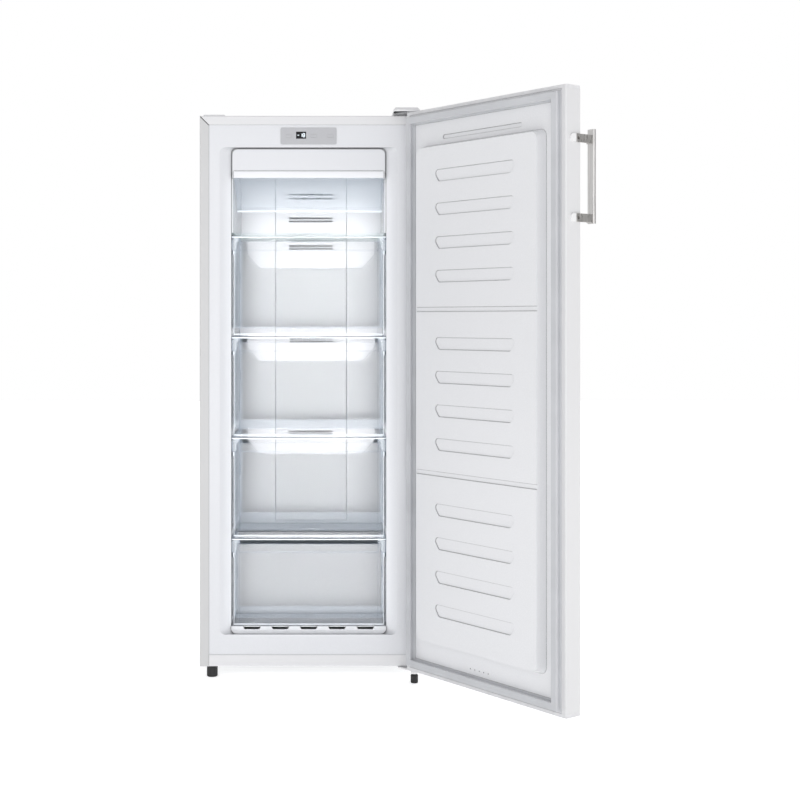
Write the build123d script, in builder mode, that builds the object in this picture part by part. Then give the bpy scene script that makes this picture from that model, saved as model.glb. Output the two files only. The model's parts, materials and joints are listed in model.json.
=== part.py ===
from build123d import *
import os
from math import cos, radians, sin

os.makedirs("parts", exist_ok=True)

# An upright one-door freezer, standing on the floor (Z = 0) with its front facing -Y.
# X = 0 is the middle of the cabinet and Y = 0 the middle of its depth. Millimetres.
# "Depth" in the names below is measured back from the front plane of the cabinet.

# ---- cabinet ----
WIDTH = 554.0
HEIGHT = 1434.0
BODY_DEPTH = 488.0
UNDERSIDE = 32.6  # floor to the bottom of the cabinet
SHEET = 1.0  # painted steel sheet
BEND = 3.0  # outer radius of its folds
FLANGE = 23.0  # folded front edge at the sides
TOP_FLANGE = 22.5
REAR_FLANGE = 15.0
MITRE_GAP = 0.8  # half the open joint between the top and side flanges
CROSSBAR_HEIGHT = 29.4
CROSSBAR_DEPTH = 62.0
LINER = 2.5  # moulded wall of the tub
SEAT_GAP = 0.3  # between a piece and what it sits in
FRONT = -BODY_DEPTH / 2

# ---- tub ----
MOUTH_SLOPE = 27.5  # each side of the mouth slopes in by this much
MOUTH_BOTTOM = 113.3
TOP_BORDER = 80.0  # cabinet's top to the mouth
MOUTH_TOP = HEIGHT - TOP_BORDER
MOUTH_RADIUS = 14.0
TUB_WIDTH = 397.0
MOUTH_WIDTH = TUB_WIDTH + 2 * MOUTH_SLOPE
TUB_DEPTH = 432.0
RECESS_DEPTH = 18.0  # the sloping edge of the mouth ends here
STEP_DEPTH = 176.0  # the tub's floor steps up over the machine space
STEP_TOP = 348.0
RAIL_OUT = 4.5
RAIL_HEIGHT = 6.0
MOUTH_HEIGHT = MOUTH_TOP - MOUTH_BOTTOM
MOUTH_MIDDLE = (MOUTH_TOP + MOUTH_BOTTOM) / 2
LINER_EDGE = BEND  # the liner's border stops short of the folds
FOAM_FRONT = SHEET + LINER

# ---- machine space ----
MACHINE_FRONT = 226.0
MACHINE_TOP_FRONT = 241.0
MACHINE_TOP = 300.0
PARTITION_BEND = 5.0
TRAY_FRONT = 262.0
TRAY_REAR = BODY_DEPTH - 10.0
TRAY_HEIGHT = 42.0
TRAY_SHEET = 1.5
TRAY_LIP = 10.0
ROLLER_RADIUS = 16.0
ROLLER_WIDTH = 16.0
ROLLER_X = 236.0
ROLLER_INSET = 26.0  # rollers' axle to the tray's rear edge
ROLLER_DEPTH = TRAY_REAR - ROLLER_INSET
AXLE_RADIUS = 4.0
RUNNING = 0.06  # radial play of a pin in its hole
CHEEK = 2.0
COMPRESSOR_X = -105.0
COMPRESSOR_DEPTH = 372.0
COMPRESSOR_RADIUS = 72.0
COMPRESSOR_HEIGHT = 150.0
DOME = 34.0  # rounding of the shell's ends
STUB_OFFSETS = ((-30.0, 20.0), (20.0, 32.0))  # of the pipe stubs, back and up
GROMMET_HEIGHT = 12.0
GROMMET_RADIUS = 9.0
SOLE = (176.0, 136.0)  # the compressor's mounting plate
TERMINAL_BOX = (66.0, 58.0)
TERMINAL_BOX_DEEP = 34.0
PAN = (150.0, 126.0, 26.0)
PIPE_RADIUS = 4.0
DRIER_X = 70.0
DRIER_DEPTH = 300.0
DRIER_BOTTOM = 120.0
DRIER_LENGTH = 120.0
DRIER_RADIUS = 9.0
RETURN_X = 30.0
INLET = (34.0, 28.0)
INLET_DEEP = 26.0
INLET_X = 170.0

# ---- door ----
OPEN_ANGLE = 126.7  # how far the door stands open from closed, degrees
HINGE_INSET = 9.7  # pivot to the door's hinge edge
PIVOT_OUT = 33.5  # pivot to the cabinet's front plane
DOOR_WIDTH = 552.0
DOOR_LIFT = 1.9  # door's lower edge above the cabinet's
DOOR_OVER = 1.5  # door's upper edge above the cabinet's
DOOR_BOTTOM = UNDERSIDE + DOOR_LIFT
DOOR_TOP = HEIGHT + DOOR_OVER
DOOR_THICK = 47.0
DOOR_INNER = 17.9  # pivot to the painted inner edge
DOOR_RETURN = 12.5  # folded inner edge of the skin
CAP_HEIGHT = 8.0
CAP_RADIUS = 4.0
DOOR_WALL = 3.5
PLATEAU_WIDTH = 431.0
PLATEAU_BELOW = 85.5  # plateau to the door's lower edge
PLATEAU_ABOVE = 92.5  # plateau to the door's upper edge
PLATEAU_BOTTOM = DOOR_BOTTOM + PLATEAU_BELOW
PLATEAU_TOP = DOOR_TOP - PLATEAU_ABOVE
PLATEAU_RISE = 25.0
PLATEAU_INSET = 6.8  # its sides lean in by this much
PLATEAU_RADIUS = 16.0
BAR_WIDTH = 294.0  # recessed bars, wider at the top
BAR_HEIGHT = 30.0
BAR_SINK = 2.4
BAR_SLOPE = 54.0  # slope of the bars' ends, degrees
BAR_RADIUS = 10.0
BARS_PER_FIELD = 4
GROOVE_HEIGHT = 12.0
GROOVE_SHIFTS = (13.3, 4.7)  # from an even division of the plateau
FIELD_SHIFTS = (1.3, -5.5, 1.0)  # of the bars from the middle of their field
FIELD_HEIGHT = (PLATEAU_TOP - PLATEAU_BOTTOM) / len(FIELD_SHIFTS)
BAR_PITCH = FIELD_HEIGHT / (BARS_PER_FIELD + 1)
GROOVE_HEIGHTS = [
    PLATEAU_BOTTOM + FIELD_HEIGHT * place + shift
    for place, shift in enumerate(GROOVE_SHIFTS, start=1)
]
FIELD_EDGES = [PLATEAU_BOTTOM, *GROOVE_HEIGHTS, PLATEAU_TOP]
FIELD_MIDDLES = [
    (low + high) / 2 + shift
    for low, high, shift in zip(FIELD_EDGES, FIELD_EDGES[1:], FIELD_SHIFTS)
]
TOP_BAR = (275.0, 11.0)
TOP_BAR_UP = 18.0  # above the plateau
TOP_BAR_Z = PLATEAU_TOP + TOP_BAR_UP
VENT_COUNT = 5
VENT_PITCH = 15.5
VENT_RADIUS = 1.6
VENT_SHIFT = 7.0
VENT_DOWN = 37.0  # below the plateau
VENT_Z = PLATEAU_BOTTOM - VENT_DOWN
GASKET_INSET = 12.5
GASKET_BASE = 22.0
GASKET_NECK = 12.0
GASKET_HEAD = 17.0
GASKET_BASE_THICK = 3.5
GASKET_HEAD_THICK = 6.0
GASKET_CORNER = 6.0
CLOSED_GAP = 0.3  # gasket to cabinet with the door closed

# ---- handle, on the door's free edge ----
HANDLE_DROP = 93.5  # door's upper edge to the bar's
HANDLE_LENGTH = 212.0
HANDLE_BOTTOM = DOOR_TOP - HANDLE_DROP - HANDLE_LENGTH
HANDLE_WIDE = 20.0
HANDLE_THICK = 9.0
HANDLE_ROUND = 3.0
HANDLE_REACH = 37.0  # finger gap between the door and the bar
POST_THICK = 4.0
POST_HEIGHT = 19.0
POST_INSETS = (11.5, 23.5)  # posts to the bar's lower and upper end
POST_HEIGHTS = (
    HANDLE_BOTTOM + POST_INSETS[0],
    HANDLE_BOTTOM + HANDLE_LENGTH - POST_INSETS[1],
)
POST_START = 11.3  # pivot to the inner end of the posts
POST_BEND = 5.0
POST_TAB = 18.0
BLOCK_LENGTH = 16.7
HANDLE_SCREW_OUT = 18.6  # pivot to the screws
HANDLE_SCREW_HEAD = 3.5
HANDLE_SCREW_RADIUS = 2.0
HANDLE_SCREW_LENGTH = 14.0

# ---- hinges and feet ----
PIN_RADIUS = 4.0
BUSH_RADIUS = 7.0
PIN_LENGTH = 18.0
HINGE_PLATE = 3.0
HINGE_LIFT = 3.5
TOP_HINGE_LEFT = 216.0
TOP_HINGE_BACK = 58.0
HINGE_NOSE = 9.5  # radius of the plates' round nose
COVER_LEFT = 214.0
COVER_RIGHT = 281.0
COVER_FRONT = 48.0
COVER_BACK = 66.0
COVER_TOP = 15.0
COVER_WALL = 2.0
COVER_BEVEL = 6.0
COVER_CLEAR = 8.0  # ahead of this depth the cover stands clear of the door
COVER_LIFT = 4.5
HOLE_COVER_LEFT = -268.0
HOLE_COVER_WIDTH = 54.0
HOLE_COVER_LENGTH = 44.0
HOLE_COVER_THICK = 3.5
LOWER_PLATE = 3.5
LOWER_HINGE_LEFT = 227.0
LOWER_HINGE_BACK = 58.0
BOSS_RADIUS = 7.5
BOSS_HEIGHT = 6.0
FOOT_X = -248.0
FOOT_DEPTH = 35.0
FOOT_RADIUS = 14.0
FOOT_HEIGHT = 27.6
HINGE_FOOT_RADIUS = 9.5
HINGE_FOOT_HEIGHT = 21.0
FOOT_EDGE = 1.5
STUD_RADIUS = 4.0
STUD_LENGTH = 20.0
SCREW_HEAD = 5.0
SCREW_HEAD_HIGH = 3.0
SCREW_RADIUS = 2.5
SCREW_LENGTH = 12.0
SCREW_PLAY = 0.15
HINGE_SCREW_X = 240.0
HINGE_SCREW_DEPTHS = (18.0, 44.0)

# ---- top compartment ----
HEADER_DEPTH = 15.0
HEADER_THICK = 3.0
HEADER_RIM = 9.0
HEADER_GAP = 3.5
HEADER_TALL = 77.0
HEADER_BOTTOM = MOUTH_TOP - HEADER_TALL
STRIP_HEIGHT = 17.5
STRIP_PROUD = 3.0
FLAP_DEPTH = 30.0
FLAP_UP = 4.0  # flap's pins above the header's lower edge
FLAP_Z = HEADER_BOTTOM + FLAP_UP
FLAP_SIDE_GAP = 7.5  # flap's ends to the tub's walls
FLAP_WIDTH = TUB_WIDTH - 2 * FLAP_SIDE_GAP
FLAP_LENGTH = 139.0
FLAP_THICK = 3.0
FLAP_LIP = 16.0
FLAP_TILT = 60.0  # how far the flap is pushed in from upright, degrees
FLAP_PIN = 3.0
FLAP_BARREL = 4.0
FLAP_CHEEK = 4.0
CHEEK_UP = 9.0  # cheeks' upper edge above the flap's pins
CHEEK_TOP = FLAP_Z + CHEEK_UP
SHELF_DROP = 217.0  # mouth's upper edge to the glass shelf
SHELF_TOP = MOUTH_TOP - SHELF_DROP
SHELF_THICK = 4.0
SHELF_FRONT = 24.0
LEDGE = 1.7

# ---- drawers: bottom of each front, from the top one down ----
DRAWER_DEPTH = 26.0
DRAWER_SIDE_GAP = 6.5  # drawers' walls to the tub's walls
DRAWER_WIDTH = TUB_WIDTH - 2 * DRAWER_SIDE_GAP
DRAWER_WALL = 2.5
DRAWER_BACK = 335.0
SILL_RISE = 20.0  # mouth's lower edge to the low drawer
LOW_DRAWER_BOTTOM = MOUTH_BOTTOM + SILL_RISE
LOW_DRAWER_HEIGHT = 222.0
LOW_GAP = 4.7  # over the low drawer
DRAWER_GAP = 4.0  # between the others
SHELF_GAP = 3.0  # under the glass shelf
DRAWER_COUNT = 3
STACK_BOTTOM = LOW_DRAWER_BOTTOM + LOW_DRAWER_HEIGHT + LOW_GAP
STACK_TOP = SHELF_TOP - SHELF_THICK - SHELF_GAP
DRAWER_PITCH = (STACK_TOP - STACK_BOTTOM + DRAWER_GAP) / DRAWER_COUNT
DRAWER_HEIGHT = DRAWER_PITCH - DRAWER_GAP
DRAWER_BOTTOMS = [STACK_BOTTOM + DRAWER_PITCH * place for place in reversed(range(DRAWER_COUNT))]
LOW_DRAWER_BACK = 165.0
FLOOR_RISE = 17.0
GRIP_HEIGHT = 36.0
GRIP_SINK = 14.0
GRIP_LIP = 15.0
GRIP_PROUD = 2.0
GRIP_BEND = 0.9
FRAME_STRIP = 15.0
FRAME_PROUD = 1.0
RIM = 3.0
RIM_OUT = 5.5
CAP_TALL = 48.0
CAP_LONG = 8.0
TUB_CORNER = 10.0
NOTCH_INSET = 15.0  # from the drawer's corner to the notch
NOTCH_LEAN = 34.0  # each side of the notch leans in by this much
NOTCH_TOP = DRAWER_WIDTH - 2 * NOTCH_INSET
NOTCH_BOTTOM = NOTCH_TOP - 2 * NOTCH_LEAN
NOTCH_STRAIGHT = 33.0
NOTCH_DEEP = 72.0
SIDE_SLOT_DEPTH = 243.0
LOW_SIDE_SLOT_DEPTH = 140.0
SIDE_SLOT = (4.0, 30.0)
SIDE_SLOT_DOWN = 106.0

# ---- sill grille under the bottom drawer ----
SILL_WALL = 2.5
SILL_FRONT = 10.0
SILL_SHOULDER = 15.0
SILL_LIP = 9.0
SILL_BACK = 172.0
SILL_HEIGHT = 18.5
VENTS = 5
VENT_STEP = 72.5
VENT_TOP = 49.0
VENT_TALL = 10.5
VENT_UP = 1.5  # openings' foot above the shoulder
VENT_SLOPE = 62.0  # slope of the openings' ends, degrees

# ---- control panel ----
PANEL_WIDTH = 141.0
PANEL_HEIGHT = 41.0
PANEL_DROP = 51.5  # cabinet's top to the panel's middle
PANEL_Z = HEIGHT - PANEL_DROP
PANEL_RADIUS = 3.0
POCKET_DEPTH = 20.0
POCKET_INSET = 4.0
PANEL_RIM = 1.2  # wall of the rim behind the panel's face
DISPLAY = (25.5, 18.0)
DISPLAY_X = -19.0
DISPLAY_UP = 2.0
BUTTON = (15.0, 8.0)
BUTTON_XS = (-50.0, 13.0, 56.0)
BUTTON_PLAY = 0.3
BUTTON_PROUD = 0.6
BUTTON_TRAVEL = 0.5
BUTTON_FLANGE = 1.0
BOARD_DEPTH = 9.0
BOARD_THICK = 1.6

# ---- rear duct, evaporator and fan ----
DUCT_DEPTH = 345.0
DUCT_THICK = 3.0
CHANNEL_WIDTH = 200.0
CHANNEL_RISE = 7.0
SLOT_LENGTH = 123.0
SLOT_HEIGHT = 4.5
SLOT_DROPS = (10.0, 18.0)  # a pair of slots below each drawer's upper edge
SLOT_LIFTS = (-2.0, 6.0, 51.5, 60.0, 115.0, 126.0)  # slots above the glass shelf
SLOT_HEIGHTS = [
    *(bottom + DRAWER_HEIGHT - drop for bottom in DRAWER_BOTTOMS for drop in SLOT_DROPS),
    *(SHELF_TOP + lift for lift in SLOT_LIFTS),
]
FAN_DROP = 62.0  # mouth's upper edge to the fan
FAN_Z = MOUTH_TOP - FAN_DROP
FAN_RADIUS = 46.0
FAN_HUB = 13.0
FAN_BLADES = 5
FAN_DEPTH = 364.0
BLADE_THICK = 2.0
BLADE_CHORD = 24.0
BLADE_ROOT_CHORD = 13.2
BLADE_ROOT_PITCH = 38.0  # degrees to the fan's plane at the hub
BLADE_TIP_PITCH = 20.0
MOTOR_RADIUS = 24.0
MOTOR_LENGTH = 32.0
SHAFT_RADIUS = 2.5
EVAPORATOR_SIDE_GAP = 38.5  # evaporator's ends to the tub's walls
EVAPORATOR_WIDTH = TUB_WIDTH - 2 * EVAPORATOR_SIDE_GAP
EVAPORATOR_DROP = 192.0  # fan to the evaporator's upper edge
EVAPORATOR_HEIGHT = 300.0
EVAPORATOR_BOTTOM = FAN_Z - EVAPORATOR_DROP - EVAPORATOR_HEIGHT
EVAPORATOR_DEPTH = 376.0
EVAPORATOR_THICK = 50.0
FIN_COUNT = 20
FIN_THICK = 1.0
COIL_ROWS = 6
COIL_RADIUS = 4.0


# ------------------------------------------------------------------ helpers
def at_depth(depth):
    """Upright plane facing the user, so far behind the cabinet's front; its axes are X and Z."""
    return Plane(origin=(0, FRONT + depth, 0), x_dir=(1, 0, 0), z_dir=(0, -1, 0))


def side_on(x=0.0):
    """Upright plane across the cabinet; its axes are depth and Z, and it faces +X."""
    return Plane(origin=(x, FRONT, 0), x_dir=(0, 1, 0), z_dir=(1, 0, 0))


def plan(z):
    """Level plane; its axes are X and depth."""
    return Plane(origin=(0, FRONT, z))


PIVOT_X = WIDTH / 2 - HINGE_INSET
PIVOT_Y = FRONT - PIVOT_OUT
TURN_COS = cos(radians(OPEN_ANGLE))
TURN_SIN = sin(radians(OPEN_ANGLE))
DOOR_OUTER = DOOR_INNER - DOOR_THICK
HINGE_EDGE = HINGE_INSET
FREE_EDGE = HINGE_INSET - DOOR_WIDTH
DOOR_MIDDLE = (HINGE_EDGE + FREE_EDGE) / 2


def door_face(inward):
    """Plane so far inward of the pivot, facing the outer skin; x runs to the hinge edge, y is Z."""
    return Plane(
        origin=(PIVOT_X - inward * TURN_SIN, PIVOT_Y + inward * TURN_COS, 0),
        x_dir=(TURN_COS, TURN_SIN, 0),
        z_dir=(TURN_SIN, -TURN_COS, 0),
    )


def door_plan(z):
    """Level plane of the door; x runs to the hinge edge and y inward, both from the pivot."""
    return Plane(origin=(PIVOT_X, PIVOT_Y, z), x_dir=(TURN_COS, TURN_SIN, 0))


def door_end(out):
    """Plane of the door's free end, so far outside it; x runs to the outer face, y is Z."""
    along = out - FREE_EDGE
    return Plane(
        origin=(PIVOT_X - along * TURN_COS, PIVOT_Y - along * TURN_SIN, 0),
        x_dir=(TURN_SIN, -TURN_COS, 0),
        z_dir=(-TURN_COS, -TURN_SIN, 0),
    )


def folded_sheet(points, thick=SHEET, bend=BEND, side=Side.LEFT):
    """Adds a folded sheet's section to the sketch being drawn; the points lie on its outer face."""
    with BuildLine() as section:
        FilletPolyline(*points, radius=bend)
        offset(amount=thick, side=side)
    make_face(section.edges())


def rounded(width, height, radius, x=0.0, z=0.0, mode=Mode.ADD):
    """Adds a rounded rectangle about a point of the sketch being drawn."""
    with Locations((x, z)):
        RectangleRounded(width, height, radius, mode=mode)


ON_TOP = (Align.CENTER, Align.CENTER, Align.MIN)  # a solid that stands on its location
BELOW = (Align.CENTER, Align.CENTER, Align.MAX)  # a solid that hangs from its location


def block(x, depth, z, mode=Mode.ADD):
    """A plain block between two limits on each axis, for cut-outs and bosses."""
    with BuildSketch(plan(z[0])) as base:
        with Locations(((x[0] + x[1]) / 2, (depth[0] + depth[1]) / 2)):
            Rectangle(x[1] - x[0], depth[1] - depth[0])
    extrude(base.sketch, amount=z[1] - z[0], mode=mode)


def save(part, label):
    """Names a finished piece and writes its file."""
    part.label = label
    export_step(part, f"parts/{label}.step")


# ------------------------------------------------------------------ cabinet casing
SIDE = WIDTH / 2

with BuildPart() as side_panels:
    with BuildSketch(plan(UNDERSIDE)):
        folded_sheet(
            (
                (-SIDE + REAR_FLANGE, BODY_DEPTH),
                (-SIDE, BODY_DEPTH),
                (-SIDE, 0),
                (-SIDE + FLANGE, 0),
            )
        )
    extrude(amount=HEIGHT - SHEET - UNDERSIDE)
    with BuildSketch(at_depth(-SHEET)):  # the mitre at the top of the front flange
        with BuildLine():
            Polyline(
                (-SIDE - BEND, HEIGHT + BEND - MITRE_GAP),
                (-SIDE + FLANGE + BEND, HEIGHT - FLANGE - BEND - MITRE_GAP),
                (-SIDE + FLANGE + BEND, HEIGHT + BEND),
                close=True,
            )
        make_face()
    extrude(amount=-(SHEET + BEND), mode=Mode.SUBTRACT)
    mirror(about=Plane.YZ)
save(side_panels.part, "side_panels")

with BuildPart() as top_panel:
    with BuildSketch(side_on()):
        folded_sheet(
            (
                (0, HEIGHT - TOP_FLANGE),
                (0, HEIGHT),
                (BODY_DEPTH, HEIGHT),
                (BODY_DEPTH, HEIGHT - REAR_FLANGE),
            ),
            side=Side.RIGHT,
        )
    extrude(amount=SIDE, both=True)
    with BuildSketch(at_depth(-SHEET)) as corners:
        with BuildLine():
            Polyline(
                (-SIDE - BEND, HEIGHT + BEND + MITRE_GAP),
                (-SIDE + FLANGE + BEND, HEIGHT - FLANGE - BEND + MITRE_GAP),
                (-SIDE - BEND, HEIGHT - FLANGE - BEND),
                close=True,
            )
        make_face()
        mirror(about=Plane.YZ)
    extrude(amount=-(SHEET + BEND), mode=Mode.SUBTRACT)
    for left in (-SIDE, SIDE - REAR_FLANGE):
        block(
            (left, left + REAR_FLANGE),
            (BODY_DEPTH - BEND, BODY_DEPTH + SHEET),
            (HEIGHT - REAR_FLANGE - SHEET, HEIGHT - SHEET),
            mode=Mode.SUBTRACT,
        )
    with Locations(*[(HINGE_SCREW_X, FRONT + d, HEIGHT) for d in HINGE_SCREW_DEPTHS]):
        Hole(SCREW_RADIUS + SCREW_PLAY)
save(top_panel.part, "top_panel")

BACK_BEAD = (16.0, 860.0)
BACK_BEAD_X = 120.0
BACK_BOTTOM = MACHINE_TOP + SHEET

with BuildPart() as back_panel:
    with BuildSketch(at_depth(BODY_DEPTH - 2 * SHEET)):
        with Locations((0, (HEIGHT - BEND + BACK_BOTTOM) / 2)):
            Rectangle(WIDTH - 2 * BEND, HEIGHT - BEND - BACK_BOTTOM)
    extrude(amount=-SHEET)
    with BuildSketch(at_depth(BODY_DEPTH - SHEET)):  # pressed stiffening beads
        with Locations((0, (HEIGHT + BACK_BOTTOM) / 2)):
            with GridLocations(2 * BACK_BEAD_X, 0, 2, 1):
                SlotOverall(BACK_BEAD[1], BACK_BEAD[0], rotation=90)
    extrude(amount=-SHEET, taper=30)
save(back_panel.part, "back_panel")

with BuildPart() as base_crossbar:
    with BuildSketch(side_on()):
        folded_sheet(
            (
                (0, UNDERSIDE + CROSSBAR_HEIGHT),
                (0, UNDERSIDE),
                (CROSSBAR_DEPTH, UNDERSIDE),
            )
        )
    extrude(amount=SIDE - FLANGE - MITRE_GAP, both=True)
    for x in (-1, 1):  # the bottom of the bar reaches the sides behind the flanges
        ends = sorted((x * (SIDE - FLANGE - MITRE_GAP), x * (SIDE - SHEET)))
        block(ends, (BEND + SHEET, CROSSBAR_DEPTH), (UNDERSIDE, UNDERSIDE + SHEET))
    with Locations((FOOT_X, FRONT + FOOT_DEPTH, UNDERSIDE)):
        Hole(STUD_RADIUS + RUNNING)
    with Locations(*[(HINGE_SCREW_X, FRONT + d, UNDERSIDE) for d in HINGE_SCREW_DEPTHS]):
        Hole(SCREW_RADIUS + SCREW_PLAY)
save(base_crossbar.part, "base_crossbar")

PARTITION_FOOT = UNDERSIDE + SHEET
FOOT_POCKET = STUD_RADIUS + 2.0

with BuildPart() as partition:
    with BuildSketch(side_on()):
        folded_sheet(
            (
                (FOAM_FRONT, PARTITION_FOOT),
                (MACHINE_FRONT, PARTITION_FOOT),
                (MACHINE_TOP_FRONT, MACHINE_TOP),
                (BODY_DEPTH - BEND, MACHINE_TOP),
            ),
            bend=PARTITION_BEND,
        )
    extrude(amount=SIDE - SHEET, both=True)
    with Locations((FOOT_X, FRONT + FOOT_DEPTH, PARTITION_FOOT)):
        Hole(FOOT_POCKET)
    with Locations(*[(HINGE_SCREW_X, FRONT + d, PARTITION_FOOT) for d in HINGE_SCREW_DEPTHS]):
        Hole(SCREW_RADIUS + SCREW_PLAY)
save(partition.part, "partition")


# ------------------------------------------------------------------ tub and insulation
def tub_space(grow):
    """The space inside the tub, grown by the thickness of the wall that goes round it."""
    with BuildPart() as space:
        with BuildSketch(at_depth(SHEET)):
            rounded(
                MOUTH_WIDTH + 2 * grow,
                MOUTH_HEIGHT + 2 * grow,
                MOUTH_RADIUS + grow,
                z=MOUTH_MIDDLE,
            )
        with BuildSketch(at_depth(RECESS_DEPTH)):
            rounded(
                TUB_WIDTH + 2 * grow,
                MOUTH_HEIGHT + 2 * grow,
                MOUTH_RADIUS + grow,
                z=MOUTH_MIDDLE,
            )
        loft()
        with BuildSketch(at_depth(RECESS_DEPTH)):
            rounded(
                TUB_WIDTH + 2 * grow,
                MOUTH_HEIGHT + 2 * grow,
                MOUTH_RADIUS + grow,
                z=MOUTH_MIDDLE,
            )
        extrude(amount=-(TUB_DEPTH + grow - RECESS_DEPTH))
        block(
            (-SIDE, SIDE),
            (STEP_DEPTH + grow, BODY_DEPTH),
            (UNDERSIDE, STEP_TOP - grow),
            mode=Mode.SUBTRACT,
        )
    return space.part


def panel_pocket():
    """The pocket behind the control panel."""
    with BuildPart() as pocket:
        with BuildSketch(at_depth(-SHEET)):
            rounded(
                PANEL_WIDTH - 2 * POCKET_INSET,
                PANEL_HEIGHT - 2 * POCKET_INSET,
                PANEL_RADIUS,
                z=PANEL_Z,
            )
        extrude(amount=-(POCKET_DEPTH + SHEET))
    return pocket.part


tub_inside = tub_space(0.0)
tub_outside = tub_space(LINER)
pocket_space = panel_pocket()


def rim_bottom(bottom, height):
    """Underside of a drawer's rim, which runs on the rails."""
    return bottom + height - RIM


DRAWERS = [(z, DRAWER_HEIGHT, DRAWER_BACK) for z in DRAWER_BOTTOMS]
DRAWERS.append((LOW_DRAWER_BOTTOM, LOW_DRAWER_HEIGHT, LOW_DRAWER_BACK))
RAIL_INNER = TUB_WIDTH / 2 - RAIL_OUT
RAIL_FRONT = DRAWER_DEPTH + CAP_LONG + 4 * SEAT_GAP

with BuildPart() as liner:
    with BuildSketch(at_depth(SHEET)):
        with Locations((0, (HEIGHT + UNDERSIDE) / 2)):
            Rectangle(WIDTH - 2 * LINER_EDGE, HEIGHT - UNDERSIDE - 2 * LINER_EDGE)
    extrude(amount=-LINER)
    add(tub_outside)
    add(tub_inside, mode=Mode.SUBTRACT)
    for bottom, height, back in DRAWERS:
        top = rim_bottom(bottom, height) - SEAT_GAP
        for x in (-1, 1):  # moulded rails under the rims of the drawers
            block(
                sorted((x * RAIL_INNER, x * (TUB_WIDTH + LINER) / 2)),
                (RAIL_FRONT, back),
                (top - RAIL_HEIGHT, top),
            )
    for x in (-1, 1):  # ledges under the glass shelf
        block(
            sorted((x * RAIL_INNER, x * (TUB_WIDTH + LINER) / 2)),
            (SHELF_FRONT + RIM, DUCT_DEPTH),
            (SHELF_TOP - SHELF_THICK - LEDGE, SHELF_TOP - SHELF_THICK),
        )
    add(pocket_space, mode=Mode.SUBTRACT)
save(liner.part, "liner")

with BuildPart() as insulation:
    with BuildSketch(side_on()):
        with BuildLine():
            foot = PARTITION_FOOT + SHEET
            Polyline(
                (FOAM_FRONT, foot),
                (MACHINE_FRONT - SHEET - 2 * PARTITION_BEND, foot),
                (MACHINE_FRONT - SHEET, foot + 2 * PARTITION_BEND),
                (MACHINE_TOP_FRONT - 2 * SHEET, MACHINE_TOP + SHEET),
                (BODY_DEPTH - 2 * SHEET, MACHINE_TOP + SHEET),
                (BODY_DEPTH - 2 * SHEET, HEIGHT - SHEET),
                (FOAM_FRONT, HEIGHT - SHEET),
                close=True,
            )
        make_face()
    extrude(amount=SIDE - SHEET, both=True)
    rear = insulation.faces().sort_by(Axis.Y)[-1]
    chamfer(rear.edges().filter_by(Axis.X, reverse=True) + rear.edges().sort_by(Axis.Z)[-1:], BEND)
    add(tub_outside, mode=Mode.SUBTRACT)
    add(pocket_space, mode=Mode.SUBTRACT)
    with Locations((FOOT_X, FRONT + FOOT_DEPTH, UNDERSIDE)):
        Cylinder(FOOT_POCKET, STUD_LENGTH, align=ON_TOP, mode=Mode.SUBTRACT)
    with Locations(*[(HINGE_SCREW_X, FRONT + d, UNDERSIDE) for d in HINGE_SCREW_DEPTHS]):
        Cylinder(SCREW_RADIUS + SCREW_PLAY, SCREW_LENGTH, align=ON_TOP, mode=Mode.SUBTRACT)
    with Locations(*[(HINGE_SCREW_X, FRONT + d, HEIGHT) for d in HINGE_SCREW_DEPTHS]):
        Hole(SCREW_RADIUS + SCREW_PLAY, depth=SCREW_LENGTH)
save(insulation.part, "insulation")


# ------------------------------------------------------------------ top compartment
INSIDE = TUB_WIDTH / 2 - SEAT_GAP

with BuildPart() as header_panel:
    header_top = MOUTH_TOP - HEADER_GAP
    header_wide = TUB_WIDTH - 2 * HEADER_GAP
    header_tall = header_top - HEADER_BOTTOM
    header_middle = (header_top + HEADER_BOTTOM) / 2
    with BuildSketch(at_depth(HEADER_DEPTH)) as header_face:
        with Locations((0, header_middle)):
            Rectangle(header_wide, header_tall)
        fillet(header_face.vertices().group_by(Axis.Y)[-1], MOUTH_RADIUS)
    extrude(amount=-HEADER_RIM)
    with BuildSketch(at_depth(HEADER_DEPTH + HEADER_THICK)) as hollow:
        with Locations((0, header_middle)):
            Rectangle(header_wide - 2 * HEADER_THICK, header_tall - 2 * HEADER_THICK)
        fillet(hollow.vertices().group_by(Axis.Y)[-1], MOUTH_RADIUS - HEADER_THICK)
    extrude(amount=-HEADER_RIM, mode=Mode.SUBTRACT)
    with BuildSketch(at_depth(HEADER_DEPTH + HEADER_RIM)) as flange:  # seats in the tub
        rounded(2 * INSIDE, header_tall + HEADER_GAP, MOUTH_RADIUS, z=header_middle + HEADER_GAP / 2)
        with Locations((0, header_middle)):
            Rectangle(
                header_wide - 2 * HEADER_THICK,
                header_tall - 2 * HEADER_THICK,
                mode=Mode.SUBTRACT,
            )
        with Locations((0, HEADER_BOTTOM)):
            Rectangle(TUB_WIDTH, 2 * (CHEEK_TOP - HEADER_BOTTOM), mode=Mode.SUBTRACT)
    extrude(amount=HEADER_THICK)
    with BuildSketch(at_depth(HEADER_DEPTH)) as lip_strip:
        with Locations((0, HEADER_BOTTOM + STRIP_HEIGHT / 2)):
            Rectangle(header_wide - 2 * HEADER_THICK, STRIP_HEIGHT)
        fillet(lip_strip.vertices(), HEADER_THICK / 2)
    extrude(amount=STRIP_PROUD, taper=10)
save(header_panel.part, "header_panel")


def flap_plane(x=0.0):
    """Plane across the flap as it is tilted; x runs down the flap and y to its inner face."""
    return Plane(
        origin=(x, FRONT + FLAP_DEPTH, FLAP_Z),
        x_dir=(0, sin(radians(FLAP_TILT)), -cos(radians(FLAP_TILT))),
        z_dir=(1, 0, 0),
    )


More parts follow.
